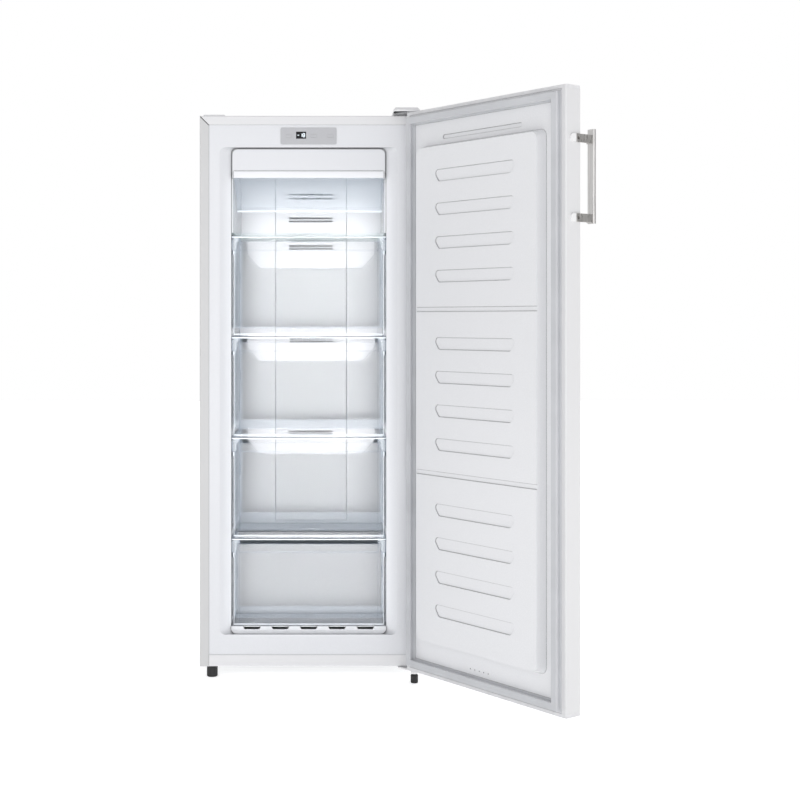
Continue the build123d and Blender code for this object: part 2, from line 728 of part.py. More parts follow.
with BuildPart() as flap:
    with BuildSketch(flap_plane()):
        half = FLAP_THICK / 2
        folded_sheet(
            ((0, half), (FLAP_LENGTH, half), (FLAP_LENGTH, half - FLAP_LIP)),
            thick=FLAP_THICK,
            bend=FLAP_THICK + 1,
            side=Side.RIGHT,
        )
        Circle(FLAP_BARREL)
    extrude(amount=FLAP_WIDTH / 2, both=True)
    with BuildSketch(flap_plane()):  # end ribs stiffen the flap beside its lip
        with BuildLine():
            Polyline(
                (0, -half),
                (FLAP_LENGTH - half, -half),
                (FLAP_LENGTH - half, -FLAP_LIP / 2),
                (FLAP_LENGTH / 2, -FLAP_BARREL),
                (0, -FLAP_BARREL),
                close=True,
            )
        make_face()
    extrude(amount=FLAP_WIDTH / 2, both=True)
    with BuildSketch(flap_plane()):
        with Locations((FLAP_LENGTH / 2 - half, -half - FLAP_LIP / 2)):
            Rectangle(FLAP_LENGTH - FLAP_THICK, FLAP_LIP)
        with Locations((0, 0)):
            Circle(FLAP_BARREL, mode=Mode.SUBTRACT)
    extrude(amount=FLAP_WIDTH / 2 - FLAP_THICK, both=True, mode=Mode.SUBTRACT)
    with BuildSketch(flap_plane()):
        Circle(FLAP_PIN)
    extrude(amount=INSIDE - SEAT_GAP, both=True)
save(flap.part, "flap")

with BuildPart() as flap_cheeks:
    with BuildSketch(side_on(INSIDE)):
        cheek_front = HEADER_DEPTH + HEADER_RIM + SEAT_GAP
        with BuildLine():
            Polyline(
                (cheek_front, SHELF_TOP + SEAT_GAP),
                (DUCT_DEPTH - SEAT_GAP, SHELF_TOP + SEAT_GAP),
                (DUCT_DEPTH - SEAT_GAP, CHEEK_TOP),
                (cheek_front, CHEEK_TOP),
                close=True,
            )
        make_face()
        with Locations((FLAP_DEPTH, FLAP_Z)):
            Circle(FLAP_PIN + RUNNING, mode=Mode.SUBTRACT)
    extrude(amount=-FLAP_CHEEK)
    mirror(about=Plane.YZ)
save(flap_cheeks.part, "flap_cheeks")

with BuildPart() as glass_shelf:
    with BuildSketch(plan(SHELF_TOP - SHELF_THICK)) as shelf_plan:
        shelf_back = DUCT_DEPTH - CHANNEL_RISE - 1
        with Locations((0, (SHELF_FRONT + shelf_back) / 2)):
            Rectangle(2 * INSIDE, shelf_back - SHELF_FRONT)
        fillet(shelf_plan.vertices(), SHELF_THICK)
    extrude(amount=SHELF_THICK)
save(glass_shelf.part, "glass_shelf")


# ------------------------------------------------------------------ rear duct, evaporator, fan
with BuildPart() as duct_cover:
    duct_bottom = STEP_TOP + SEAT_GAP
    duct_top = MOUTH_TOP - SEAT_GAP
    with BuildSketch(at_depth(DUCT_DEPTH)) as cover_face:
        with Locations((0, (duct_bottom + duct_top) / 2)):
            Rectangle(2 * INSIDE, duct_top - duct_bottom)
        fillet(cover_face.vertices().group_by(Axis.Y)[-1], MOUTH_RADIUS)
    extrude(amount=-DUCT_THICK)
    with BuildSketch(at_depth(DUCT_DEPTH)):
        with Locations((0, (duct_bottom + duct_top) / 2)):
            Rectangle(CHANNEL_WIDTH, duct_top - duct_bottom - 2 * CHANNEL_RISE)
    extrude(amount=CHANNEL_RISE, taper=20)
    with BuildSketch(at_depth(DUCT_DEPTH + DUCT_THICK)):
        with Locations((0, (duct_bottom + duct_top) / 2)):
            Rectangle(
                CHANNEL_WIDTH - 4 * DUCT_THICK,
                duct_top - duct_bottom - 2 * CHANNEL_RISE - 4 * DUCT_THICK,
            )
    extrude(amount=CHANNEL_RISE, mode=Mode.SUBTRACT)
    with BuildSketch(at_depth(DUCT_DEPTH)):
        with Locations(*[(0, z) for z in SLOT_HEIGHTS]):
            SlotOverall(SLOT_LENGTH, SLOT_HEIGHT)
    extrude(amount=CHANNEL_RISE + DUCT_THICK, mode=Mode.SUBTRACT)
save(duct_cover.part, "duct_cover")

with BuildPart() as evaporator:
    middle = EVAPORATOR_BOTTOM + EVAPORATOR_HEIGHT / 2
    with BuildSketch(at_depth(EVAPORATOR_DEPTH)):
        with Locations((0, middle)):
            with GridLocations((EVAPORATOR_WIDTH - FIN_THICK) / (FIN_COUNT - 1), 0, FIN_COUNT, 1):
                Rectangle(FIN_THICK, EVAPORATOR_HEIGHT)
    extrude(amount=-EVAPORATOR_THICK)
    row = EVAPORATOR_HEIGHT / COIL_ROWS
    with BuildSketch(at_depth(EVAPORATOR_DEPTH + EVAPORATOR_THICK / 3)):  # tube runs, in the fins
        with Locations((0, middle)):
            with GridLocations(0, row, 1, COIL_ROWS):
                Rectangle(EVAPORATOR_WIDTH, 2 * COIL_RADIUS)
    extrude(amount=-2 * COIL_RADIUS)
    for index in range(COIL_ROWS - 1):  # the bends that join one run to the next
        side = 1 if index % 2 else -1
        z = EVAPORATOR_BOTTOM + row * (index + 1)
        bend_x = side * EVAPORATOR_WIDTH / 2
        centre = FRONT + EVAPORATOR_DEPTH + EVAPORATOR_THICK / 3 + COIL_RADIUS
        with BuildSketch(Plane(origin=(bend_x, centre, z), x_dir=(0, 1, 0), z_dir=(1, 0, 0))):
            with Locations((0, row / 2)):
                Circle(COIL_RADIUS)
        axis = Axis((bend_x, centre, z), (0, side, 0))
        revolve(axis=axis, revolution_arc=180)
    hanger = EVAPORATOR_WIDTH / 2 - FIN_THICK
    for x in (-1, 1):  # the end plates reach back to the tub's rear wall
        block(
            sorted((x * hanger, x * (hanger + FIN_THICK))),
            (EVAPORATOR_DEPTH + EVAPORATOR_THICK, TUB_DEPTH - SEAT_GAP),
            (middle - row, middle + row),
        )
save(evaporator.part, "evaporator")

TROUGH_TOP = EVAPORATOR_BOTTOM - 22.0
TROUGH_DEEP = 22.0
HEATER_Z = EVAPORATOR_BOTTOM - 10.0

with BuildPart() as drip_trough:
    with BuildSketch(side_on()):
        folded_sheet(
            (
                (EVAPORATOR_DEPTH - 10, TROUGH_TOP),
                (EVAPORATOR_DEPTH, TROUGH_TOP - TROUGH_DEEP),
                (TUB_DEPTH - SEAT_GAP, TROUGH_TOP - TROUGH_DEEP),
                (TUB_DEPTH - SEAT_GAP, TROUGH_TOP),
            ),
            thick=SILL_WALL,
        )
    extrude(amount=EVAPORATOR_WIDTH / 2 + BEND, both=True)
save(drip_trough.part, "drip_trough")

with BuildPart() as defrost_heater:
    heater_depth = EVAPORATOR_DEPTH + EVAPORATOR_THICK / 2
    with BuildSketch(side_on()):
        with Locations((heater_depth, HEATER_Z)):
            Circle(COIL_RADIUS)
    extrude(amount=EVAPORATOR_WIDTH / 2, both=True)
    for x in (-1, 1):  # clips to the underside of the evaporator
        block(
            sorted((x * EVAPORATOR_WIDTH / 2, x * (EVAPORATOR_WIDTH / 2 - 2 * CHEEK))),
            (heater_depth - 2 * COIL_RADIUS, heater_depth + 2 * COIL_RADIUS),
            (HEATER_Z - 2 * COIL_RADIUS, EVAPORATOR_BOTTOM - SEAT_GAP),
        )
save(defrost_heater.part, "defrost_heater")

ARM_WIDTH = 8.0
HUB_DEPTH = 10.0
MOTOR_FRONT = FAN_DEPTH + HUB_DEPTH + 3 * CHEEK
CHANNEL_BACK = DUCT_DEPTH + DUCT_THICK - CHANNEL_RISE

with BuildPart() as fan_motor:
    with BuildSketch(at_depth(MOTOR_FRONT)):
        with Locations((0, FAN_Z)):
            Circle(MOTOR_RADIUS)
    extrude(amount=-MOTOR_LENGTH)
    fillet(fan_motor.edges().filter_by(GeomType.CIRCLE), BEND)
    with BuildSketch(at_depth(MOTOR_FRONT)):
        with Locations((0, FAN_Z)):
            Circle(SHAFT_RADIUS)
    extrude(amount=HUB_DEPTH + CHEEK)
    reach = FAN_RADIUS + ARM_WIDTH
    for x in (-1, 1):  # arms from the motor past the blades to the back of the duct cover
        with BuildSketch(Plane(origin=(0, FRONT, FAN_Z - ARM_WIDTH / 2))):
            with BuildLine():
                Polyline(
                    (x * (MOTOR_RADIUS - BEND), MOTOR_FRONT + 3 * BEND),
                    (x * (MOTOR_RADIUS - BEND), MOTOR_FRONT + 2 * BEND + ARM_WIDTH),
                    (x * (reach + ARM_WIDTH / 2), MOTOR_FRONT + 2 * BEND + ARM_WIDTH),
                    (x * (reach + ARM_WIDTH / 2), CHANNEL_BACK),
                    (x * reach, CHANNEL_BACK),
                    (x * reach, MOTOR_FRONT + 3 * BEND),
                    close=True,
                )
            make_face()
        extrude(amount=ARM_WIDTH)
save(fan_motor.part, "fan_motor")


def blade_plane(radius, pitch):
    """Plane across one blade at a radius, turned by the blade's pitch there."""
    lean = radians(pitch)
    return Plane(
        origin=(0, FRONT + FAN_DEPTH + HUB_DEPTH / 2, FAN_Z + radius),
        x_dir=(cos(lean), sin(lean), 0),
        z_dir=(0, 0, 1),
    )


with BuildPart() as fan_blade:
    with BuildSketch(blade_plane(FAN_HUB - CHEEK, BLADE_ROOT_PITCH)):
        Rectangle(BLADE_ROOT_CHORD, BLADE_THICK)
    with BuildSketch(blade_plane(FAN_RADIUS, BLADE_TIP_PITCH)):
        Rectangle(BLADE_CHORD, BLADE_THICK)
    loft()
    one = fan_blade.part
    for index in range(1, FAN_BLADES):
        turn = 360 / FAN_BLADES * index
        hub_axis = Axis((0, 0, FAN_Z), (0, 1, 0))
        add(one.rotate(hub_axis, turn))
    with BuildSketch(at_depth(FAN_DEPTH)):
        with Locations((0, FAN_Z)):
            Circle(FAN_HUB)
    extrude(amount=-HUB_DEPTH)
    with BuildSketch(at_depth(FAN_DEPTH + CHEEK)):
        with Locations((0, FAN_Z)):
            Circle(SHAFT_RADIUS + RUNNING)
    extrude(amount=-HUB_DEPTH, mode=Mode.SUBTRACT)
save(fan_blade.part, "fan_blade")


# ------------------------------------------------------------------ drawers
def make_drawer(bottom, height, back, slot_depth, notched):
    """A moulded drawer: tub, recessed grip, framed front, rims that run on the rails."""
    half = DRAWER_WIDTH / 2
    top = bottom + height
    field = half - FRAME_STRIP
    inner_face = DRAWER_DEPTH + DRAWER_WALL
    grip_foot = top - GRIP_HEIGHT
    with BuildPart() as drawer:
        with BuildSketch(plan(bottom + FLOOR_RISE)) as outline:
            with Locations((0, (inner_face + back) / 2)):
                Rectangle(DRAWER_WIDTH, back - inner_face)
            fillet(outline.vertices().group_by(Axis.Y)[-1], TUB_CORNER)
        extrude(amount=height - FLOOR_RISE)
        with BuildSketch(plan(bottom + FLOOR_RISE + DRAWER_WALL)) as inside:
            with Locations((0, (DRAWER_DEPTH + back - DRAWER_WALL) / 2)):
                Rectangle(DRAWER_WIDTH - 2 * DRAWER_WALL, back - DRAWER_WALL - DRAWER_DEPTH)
            fillet(inside.vertices().group_by(Axis.Y)[-1], TUB_CORNER - DRAWER_WALL)
        extrude(amount=height, mode=Mode.SUBTRACT)
        for x in (-1, 1):  # rims that run on the rails
            block(
                sorted((x * half, x * (half + RIM_OUT))),
                (DRAWER_DEPTH + CAP_LONG, back - TUB_CORNER),
                (top - RIM, top),
            )
        with BuildSketch(side_on()):
            with Locations((slot_depth, top - SIDE_SLOT_DOWN)):
                SlotOverall(SIDE_SLOT[1], SIDE_SLOT[0], rotation=90)
        extrude(amount=half + 1, both=True, mode=Mode.SUBTRACT)
        if notched:
            with BuildSketch(at_depth(back + 1)) as notch:
                with BuildLine():
                    Polyline(
                        (-NOTCH_TOP / 2, top + 1),
                        (-NOTCH_TOP / 2, top - NOTCH_STRAIGHT),
                        (-NOTCH_BOTTOM / 2, top - NOTCH_DEEP),
                        (NOTCH_BOTTOM / 2, top - NOTCH_DEEP),
                        (NOTCH_TOP / 2, top - NOTCH_STRAIGHT),
                        (NOTCH_TOP / 2, top + 1),
                        close=True,
                    )
                make_face()
                fillet(notch.vertices().group_by(Axis.Y)[:2], TUB_CORNER)
            extrude(amount=DRAWER_WALL + 2, mode=Mode.SUBTRACT)
        with BuildSketch(at_depth(DRAWER_DEPTH)):
            with Locations((0, (bottom + top) / 2)):
                Rectangle(DRAWER_WIDTH, height)
            with Locations((0, top)):  # the grip opens through the plate
                Rectangle(2 * field, 2 * GRIP_HEIGHT, mode=Mode.SUBTRACT)
        extrude(amount=-DRAWER_WALL)
        with BuildSketch(side_on()):
            folded_sheet(
                (
                    (DRAWER_DEPTH, grip_foot),
                    (DRAWER_DEPTH + GRIP_SINK, grip_foot),
                    (DRAWER_DEPTH + GRIP_SINK, top - DRAWER_WALL),
                    (inner_face - GRIP_PROUD, top - DRAWER_WALL),
                    (inner_face - GRIP_PROUD, top - GRIP_LIP),
                ),
                thick=DRAWER_WALL,
                bend=GRIP_BEND,
                side=Side.RIGHT,
            )
        extrude(amount=field, both=True)
        for x in (-1, 1):
            block(  # end of the grip recess
                sorted((x * field, x * (field + DRAWER_WALL))),
                (DRAWER_DEPTH, DRAWER_DEPTH + GRIP_SINK + DRAWER_WALL),
                (grip_foot - DRAWER_WALL, top),
            )
            block(  # proud frame strip down the side
                sorted((x * field, x * half)),
                (DRAWER_DEPTH - FRAME_PROUD, DRAWER_DEPTH),
                (bottom, top),
            )
            block(  # end cap that closes the gap beside the front
                sorted((x * half, x * (half + RIM_OUT))),
                (DRAWER_DEPTH, DRAWER_DEPTH + CAP_LONG),
                (top - CAP_TALL, top),
            )
        block(  # lower bead
            (-field, field),
            (DRAWER_DEPTH - FRAME_PROUD, DRAWER_DEPTH),
            (bottom, bottom + RIM),
        )
    return drawer.part


for number, (bottom, height, back) in enumerate(DRAWERS, start=1):
    low = number == len(DRAWERS)
    slot_depth = LOW_SIDE_SLOT_DEPTH if low else SIDE_SLOT_DEPTH
    drawer = make_drawer(bottom, height, back, slot_depth, notched=not low)
    save(drawer, f"drawer_{number}")

with BuildPart() as sill_grille:
    sill_foot = MOUTH_BOTTOM + SEAT_GAP
    sill_top = MOUTH_BOTTOM + SILL_HEIGHT
    with BuildSketch(side_on()):
        folded_sheet(
            (
                (SILL_FRONT, sill_foot),
                (SILL_SHOULDER, sill_foot + SILL_LIP),
                (SILL_SHOULDER, sill_top),
                (SILL_BACK, sill_top),
                (SILL_BACK, sill_foot),
            ),
            thick=SILL_WALL,
            side=Side.RIGHT,
        )
    extrude(amount=INSIDE, both=True)
    with BuildSketch(at_depth(0)):  # openings from the shoulder up through the top
        with Locations((0, sill_foot + SILL_LIP + VENT_UP + VENT_TALL / 2)):
            with GridLocations(VENT_STEP, 0, VENTS, 1):
                Trapezoid(VENT_TOP, VENT_TALL, VENT_SLOPE, rotation=180)
    extrude(amount=-(SILL_SHOULDER + 2 * SILL_WALL), mode=Mode.SUBTRACT)
    with BuildSketch(at_depth(0)):  # its lower corners follow the tub
        rounded(
            2 * INSIDE,
            MOUTH_HEIGHT - 2 * SEAT_GAP,
            MOUTH_RADIUS,
            z=MOUTH_MIDDLE,
        )
    extrude(amount=-BODY_DEPTH, mode=Mode.INTERSECT)
save(sill_grille.part, "sill_grille")


# ------------------------------------------------------------------ control panel
with BuildPart() as control_panel:
    with BuildSketch(at_depth(0)):
        rounded(PANEL_WIDTH, PANEL_HEIGHT, PANEL_RADIUS, z=PANEL_Z)
    extrude(amount=-SHEET)
    with BuildSketch(at_depth(SHEET)):
        rim_inset = 2 * POCKET_INSET + 2 * SEAT_GAP
        rounded(PANEL_WIDTH - rim_inset, PANEL_HEIGHT - rim_inset, PANEL_RADIUS, z=PANEL_Z)
        rounded(
            PANEL_WIDTH - rim_inset - 2 * PANEL_RIM,
            PANEL_HEIGHT - rim_inset - 2 * PANEL_RIM,
            PANEL_RADIUS / 2,
            z=PANEL_Z,
            mode=Mode.SUBTRACT,
        )
    extrude(amount=-(BOARD_DEPTH - SHEET))
    with BuildSketch(at_depth(0)):
        with Locations((DISPLAY_X, PANEL_Z + DISPLAY_UP)):
            Rectangle(*DISPLAY)
        with Locations(*[(x, PANEL_Z) for x in BUTTON_XS]):
            RectangleRounded(BUTTON[0] + 2 * BUTTON_PLAY, BUTTON[1] + 2 * BUTTON_PLAY, 2)
    extrude(amount=-SHEET, mode=Mode.SUBTRACT)
save(control_panel.part, "control_panel")

with BuildPart() as display_window:
    with BuildSketch(at_depth(0)):
        with Locations((DISPLAY_X, PANEL_Z + DISPLAY_UP)):
            Rectangle(*DISPLAY)
    extrude(amount=-2 * SHEET)
    chamfer(display_window.faces().sort_by(Axis.Y)[0].edges(), SEAT_GAP)
save(display_window.part, "display_window")

BUTTON_NAMES = ("button_fast", "button_alarm", "button_set")
BUTTON_BACK = BOARD_DEPTH - BUTTON_TRAVEL - SEAT_GAP

for x, name in zip(BUTTON_XS, BUTTON_NAMES):
    with BuildPart() as button:
        with BuildSketch(at_depth(-BUTTON_PROUD)):
            rounded(*BUTTON, 1.7, x=x, z=PANEL_Z)
        extrude(amount=-(BUTTON_PROUD + 2 * SHEET))
        fillet(button.faces().sort_by(Axis.Y)[0].edges(), BUTTON_PROUD / 2)
        with BuildSketch(at_depth(SHEET + SEAT_GAP)):  # collar that keeps it in the panel
            rounded(
                BUTTON[0] + 2 * BUTTON_FLANGE,
                BUTTON[1] + 2 * BUTTON_FLANGE,
                2,
                x=x,
                z=PANEL_Z,
            )
        extrude(amount=-BUTTON_FLANGE)
        with BuildSketch(at_depth(SHEET)):  # stem to the switch on the board
            with Locations((x, PANEL_Z)):
                Circle(BUTTON[1] / 4)
        extrude(amount=-(BUTTON_BACK - SHEET))
    save(button.part, name)

with BuildPart() as control_board:
    with BuildSketch(at_depth(BOARD_DEPTH)):
        rounded(
            PANEL_WIDTH - 2 * POCKET_INSET - 2 * SEAT_GAP,
            PANEL_HEIGHT - 2 * POCKET_INSET - 2 * SEAT_GAP,
            PANEL_RADIUS,
            z=PANEL_Z,
        )
    extrude(amount=-BOARD_THICK)
    with BuildSketch(at_depth(BOARD_DEPTH)):  # display module up to the back of the window
        with Locations((DISPLAY_X, PANEL_Z + DISPLAY_UP)):
            Rectangle(DISPLAY[0] - LINER, DISPLAY[1] - LINER)
    extrude(amount=BOARD_DEPTH - 2 * SHEET - SEAT_GAP)
    with BuildSketch(at_depth(BOARD_DEPTH + BOARD_THICK)):  # relay and capacitor on the back
        with Locations((20, PANEL_Z)):
            Rectangle(18, 14)
        with Locations((45, PANEL_Z)):
            Circle(5)
    extrude(amount=-6)
save(control_board.part, "control_board")


# ------------------------------------------------------------------ door, standing open
SKIN_FOOT = DOOR_BOTTOM + CAP_HEIGHT
SKIN_TOP = DOOR_TOP - CAP_HEIGHT
DOOR_CENTRE = (DOOR_TOP + DOOR_BOTTOM) / 2
LINER_FACE = DOOR_INNER - SHEET
LINER_BACK = LINER_FACE - DOOR_WALL
PLATEAU_HEIGHT = PLATEAU_TOP - PLATEAU_BOTTOM
PLATEAU_MIDDLE = (PLATEAU_TOP + PLATEAU_BOTTOM) / 2
PLATEAU_FACE = LINER_FACE + PLATEAU_RISE
BUSH_BOTTOM = DOOR_BOTTOM + PIN_LENGTH + 2 * CHEEK  # blind end of the lower bush
BUSH_TOP = DOOR_TOP - PIN_LENGTH - 2 * CHEEK
HANDLE_LOCATIONS = [(HANDLE_SCREW_OUT, z) for z in POST_HEIGHTS]


def door_slab(inset, back, face, bottom, top):
    """A slab within the door's outline, between two distances inward of the pivot."""
    with BuildPart() as slab:
        with BuildSketch(door_plan(bottom)):
            with Locations((DOOR_MIDDLE, (back + face) / 2)):
                Rectangle(DOOR_WIDTH - 2 * inset, face - back)
        extrude(amount=top - bottom)
    return slab.part


def plateau(start, inset):
    """The raised middle of the door's inner wall, moved in by the wall's thickness."""
    with BuildPart() as raised:
        with BuildSketch(door_face(start)):
            rounded(
                PLATEAU_WIDTH - 2 * inset,
                PLATEAU_HEIGHT - 2 * inset,
                PLATEAU_RADIUS,
                x=DOOR_MIDDLE,
                z=PLATEAU_MIDDLE,
            )
        with BuildSketch(door_face(start + PLATEAU_RISE)):
            rounded(
                PLATEAU_WIDTH - 2 * inset - 2 * PLATEAU_INSET,
                PLATEAU_HEIGHT - 2 * inset - 2 * PLATEAU_INSET,
                PLATEAU_RADIUS,
                x=DOOR_MIDDLE,
                z=PLATEAU_MIDDLE,
            )
        loft()
    return raised.part


plateau_outside = plateau(LINER_FACE, 0.0)
plateau_inside = plateau(LINER_BACK, DOOR_WALL)
liner_slab = door_slab(BEND, LINER_BACK, LINER_FACE, SKIN_FOOT, SKIN_TOP)
foam_slab = door_slab(SHEET, DOOR_OUTER + SHEET, LINER_BACK, SKIN_FOOT, SKIN_TOP)

with BuildPart() as door_skin:
    with BuildSketch(door_plan(SKIN_FOOT)):
        folded_sheet(
            (
                (FREE_EDGE + DOOR_RETURN, DOOR_INNER),
                (FREE_EDGE, DOOR_INNER),
                (FREE_EDGE, DOOR_OUTER),
                (HINGE_EDGE, DOOR_OUTER),
                (HINGE_EDGE, DOOR_INNER),
                (HINGE_EDGE - DOOR_RETURN, DOOR_INNER),
            )
        )
    extrude(amount=SKIN_TOP - SKIN_FOOT)
    with BuildSketch(door_end(SHEET)):  # holes for the handle's screws
        with Locations(*HANDLE_LOCATIONS):
            Circle(HANDLE_SCREW_RADIUS + SCREW_PLAY)
    extrude(amount=-BEND, mode=Mode.SUBTRACT)
save(door_skin.part, "door_skin")

with BuildPart() as door_insulation:
    add(foam_slab)
    outer_edges = door_insulation.edges().filter_by(Axis.Z)
    fillet(outer_edges.sort_by(lambda e: (e @ 0.5).X * TURN_SIN - (e @ 0.5).Y * TURN_COS)[-2:], SHEET * 2)
    add(plateau_inside)
    with BuildSketch(door_end(0)):
        with Locations(*HANDLE_LOCATIONS):
            Circle(HANDLE_SCREW_RADIUS + SCREW_PLAY)
    extrude(amount=-HANDLE_SCREW_LENGTH - SHEET, mode=Mode.SUBTRACT)
    with Locations((PIVOT_X, PIVOT_Y, BUSH_BOTTOM), (PIVOT_X, PIVOT_Y, SKIN_TOP)):
        Cylinder(BUSH_RADIUS, BUSH_BOTTOM - SKIN_FOOT, align=BELOW, mode=Mode.SUBTRACT)
save(door_insulation.part, "door_insulation")

with BuildPart() as door_liner:
    add(liner_slab)
    add(plateau_outside)
    add(plateau_inside, mode=Mode.SUBTRACT)
    with BuildSketch(door_face(PLATEAU_FACE)) as bars:
        for field in FIELD_MIDDLES:
            with Locations((DOOR_MIDDLE, field)):
                with GridLocations(0, BAR_PITCH, 1, BARS_PER_FIELD):
                    Trapezoid(BAR_WIDTH, BAR_HEIGHT, BAR_SLOPE, rotation=180)
        fillet(bars.vertices(), BAR_RADIUS)
    extrude(amount=BAR_SINK, mode=Mode.SUBTRACT)
    with BuildSketch(door_face(PLATEAU_FACE)):  # grooves between the fields
        with Locations(*[(DOOR_MIDDLE, z) for z in GROOVE_HEIGHTS]):
            Rectangle(PLATEAU_WIDTH, GROOVE_HEIGHT)
    extrude(amount=BAR_SINK, mode=Mode.SUBTRACT)
    with BuildSketch(door_face(LINER_FACE)):
        with Locations((DOOR_MIDDLE, TOP_BAR_Z)):
            SlotOverall(*TOP_BAR)
        with Locations((DOOR_MIDDLE + VENT_SHIFT, VENT_Z)):
            with GridLocations(VENT_PITCH, 0, VENT_COUNT, 1):
                Circle(VENT_RADIUS)
    extrude(amount=BAR_SINK, mode=Mode.SUBTRACT)
save(door_liner.part, "door_liner")


def door_cap(bottom):
    """Moulded end piece of the door, with a hole for the hinge bush."""
    with BuildPart() as cap:
        with BuildSketch(door_plan(bottom)):
            with Locations((DOOR_MIDDLE, (DOOR_INNER + DOOR_OUTER) / 2)):
                RectangleRounded(DOOR_WIDTH, DOOR_THICK, CAP_RADIUS)
            Circle(BUSH_RADIUS, mode=Mode.SUBTRACT)
        extrude(amount=CAP_HEIGHT)
    return cap.part


save(door_cap(SKIN_TOP), "door_top_cap")
save(door_cap(DOOR_BOTTOM), "door_bottom_cap")


def gasket_ring(inset, width, start, thick):
    """One layer of the gasket, a ring round the door's inner face."""
    with BuildSketch(door_face(start)) as ring:
        outer = (DOOR_WIDTH - 2 * inset, DOOR_TOP - DOOR_BOTTOM - 2 * inset)
        rounded(*outer, GASKET_CORNER, x=DOOR_MIDDLE, z=DOOR_CENTRE)
        with Locations((DOOR_MIDDLE, DOOR_CENTRE)):
            Rectangle(outer[0] - 2 * width, outer[1] - 2 * width, mode=Mode.SUBTRACT)
    extrude(ring.sketch, amount=-thick)


GASKET_FACE = PIVOT_OUT - CLOSED_GAP
HEAD_START = GASKET_FACE - GASKET_HEAD_THICK
NECK_START = LINER_FACE + GASKET_BASE_THICK

with BuildPart() as door_gasket:
    gasket_ring(GASKET_INSET, GASKET_BASE, LINER_FACE, GASKET_BASE_THICK)
    neck_inset = GASKET_INSET + (GASKET_BASE - GASKET_NECK) / 2
    gasket_ring(neck_inset, GASKET_NECK, NECK_START, HEAD_START - NECK_START)
    head_inset = GASKET_INSET + (GASKET_BASE - GASKET_HEAD) / 2
    gasket_ring(head_inset, GASKET_HEAD, HEAD_START, GASKET_HEAD_THICK)
save(door_gasket.part, "door_gasket")

COLLAR_HEIGHT = DOOR_BOTTOM - UNDERSIDE - SEAT_GAP

with BuildPart() as door_bushes:  # each turns on a hinge pin, with a collar outside the door
    with Locations((PIVOT_X, PIVOT_Y, BUSH_BOTTOM)):
        Cylinder(BUSH_RADIUS, BUSH_BOTTOM - DOOR_BOTTOM, align=BELOW)
    with Locations((PIVOT_X, PIVOT_Y, BUSH_TOP)):
        Cylinder(BUSH_RADIUS, DOOR_TOP - BUSH_TOP, align=ON_TOP)
    with Locations((PIVOT_X, PIVOT_Y, DOOR_BOTTOM)):
        Cylinder(HINGE_NOSE, COLLAR_HEIGHT, align=BELOW)
    with Locations((PIVOT_X, PIVOT_Y, DOOR_TOP)):
        Cylinder(HINGE_NOSE, COLLAR_HEIGHT, align=ON_TOP)
    with Locations((PIVOT_X, PIVOT_Y, BUSH_BOTTOM - CHEEK)):
        Cylinder(PIN_RADIUS + RUNNING, HEIGHT, align=BELOW, mode=Mode.SUBTRACT)
    with Locations((PIVOT_X, PIVOT_Y, BUSH_TOP + CHEEK)):
        Cylinder(PIN_RADIUS + RUNNING, HEIGHT, align=ON_TOP, mode=Mode.SUBTRACT)
save(door_bushes.part, "door_bushes")

# ------------------------------------------------------------------ handle
BAR_INNER = DOOR_OUTER - HANDLE_REACH  # face of the bar towards the door
POST_FACE = FREE_EDGE - POST_THICK

with BuildPart() as handle_bar:
    with BuildSketch(door_plan(HANDLE_BOTTOM)):
        with Locations((POST_FACE + HANDLE_WIDE / 2, BAR_INNER - HANDLE_THICK / 2)):
            RectangleRounded(HANDLE_WIDE, HANDLE_THICK, HANDLE_ROUND)
    extrude(amount=HANDLE_LENGTH)
    fillet(handle_bar.faces().filter_by(Axis.Z).edges(), SHEET / 2)
save(handle_bar.part, "handle_bar")

with BuildPart() as handle_posts:
    for z in POST_HEIGHTS:
        with BuildSketch(door_plan(z - POST_HEIGHT / 2)):
            folded_sheet(
                (
                    (POST_FACE, -POST_START),
                    (POST_FACE, BAR_INNER),
                    (POST_FACE + POST_TAB, BAR_INNER),
                ),
                thick=POST_THICK,
                bend=POST_BEND,
            )
        extrude(amount=POST_HEIGHT)
    with BuildSketch(door_end(POST_THICK + SHEET)):
        with Locations(*HANDLE_LOCATIONS):
            Circle(HANDLE_SCREW_HEAD + SCREW_PLAY)
    extrude(amount=-POST_THICK - SHEET, mode=Mode.SUBTRACT)
save(handle_posts.part, "handle_posts")

with BuildPart() as handle_blocks:
    with BuildSketch(door_end(0)) as blocks:
        with Locations(*[(POST_START - BLOCK_LENGTH / 2, z) for z in POST_HEIGHTS]):
            Rectangle(BLOCK_LENGTH, POST_HEIGHT)
        fillet(blocks.vertices().group_by(Axis.X)[0], POST_HEIGHT / 2 - SHEET / 2)
    extrude(amount=POST_THICK)
save(handle_blocks.part, "handle_blocks")

with BuildPart() as handle_screws:
    with BuildSketch(door_end(0)):
        with Locations(*HANDLE_LOCATIONS):
            Circle(HANDLE_SCREW_HEAD)
    extrude(amount=POST_THICK / 2)
    with BuildSketch(door_end(0)):
        with Locations(*HANDLE_LOCATIONS):
            Circle(HANDLE_SCREW_RADIUS)
    extrude(amount=-HANDLE_SCREW_LENGTH)
save(handle_screws.part, "handle_screws")


# ------------------------------------------------------------------ hinges and feet
def hinge_outline(left, back):
    """Plan of a hinge plate: a rectangle on the cabinet with a nose round the pivot."""
    nose_right = PIVOT_X + HINGE_NOSE
    with BuildLine() as outline:
        Polyline(
            (left, back),
            (left, 0),
            (PIVOT_X - HINGE_NOSE, -PIVOT_OUT),
            (nose_right, -PIVOT_OUT),
            (nose_right, back),
            close=True,
        )
    make_face(outline.edges())
    with Locations((PIVOT_X, -PIVOT_OUT)):
        Circle(HINGE_NOSE)


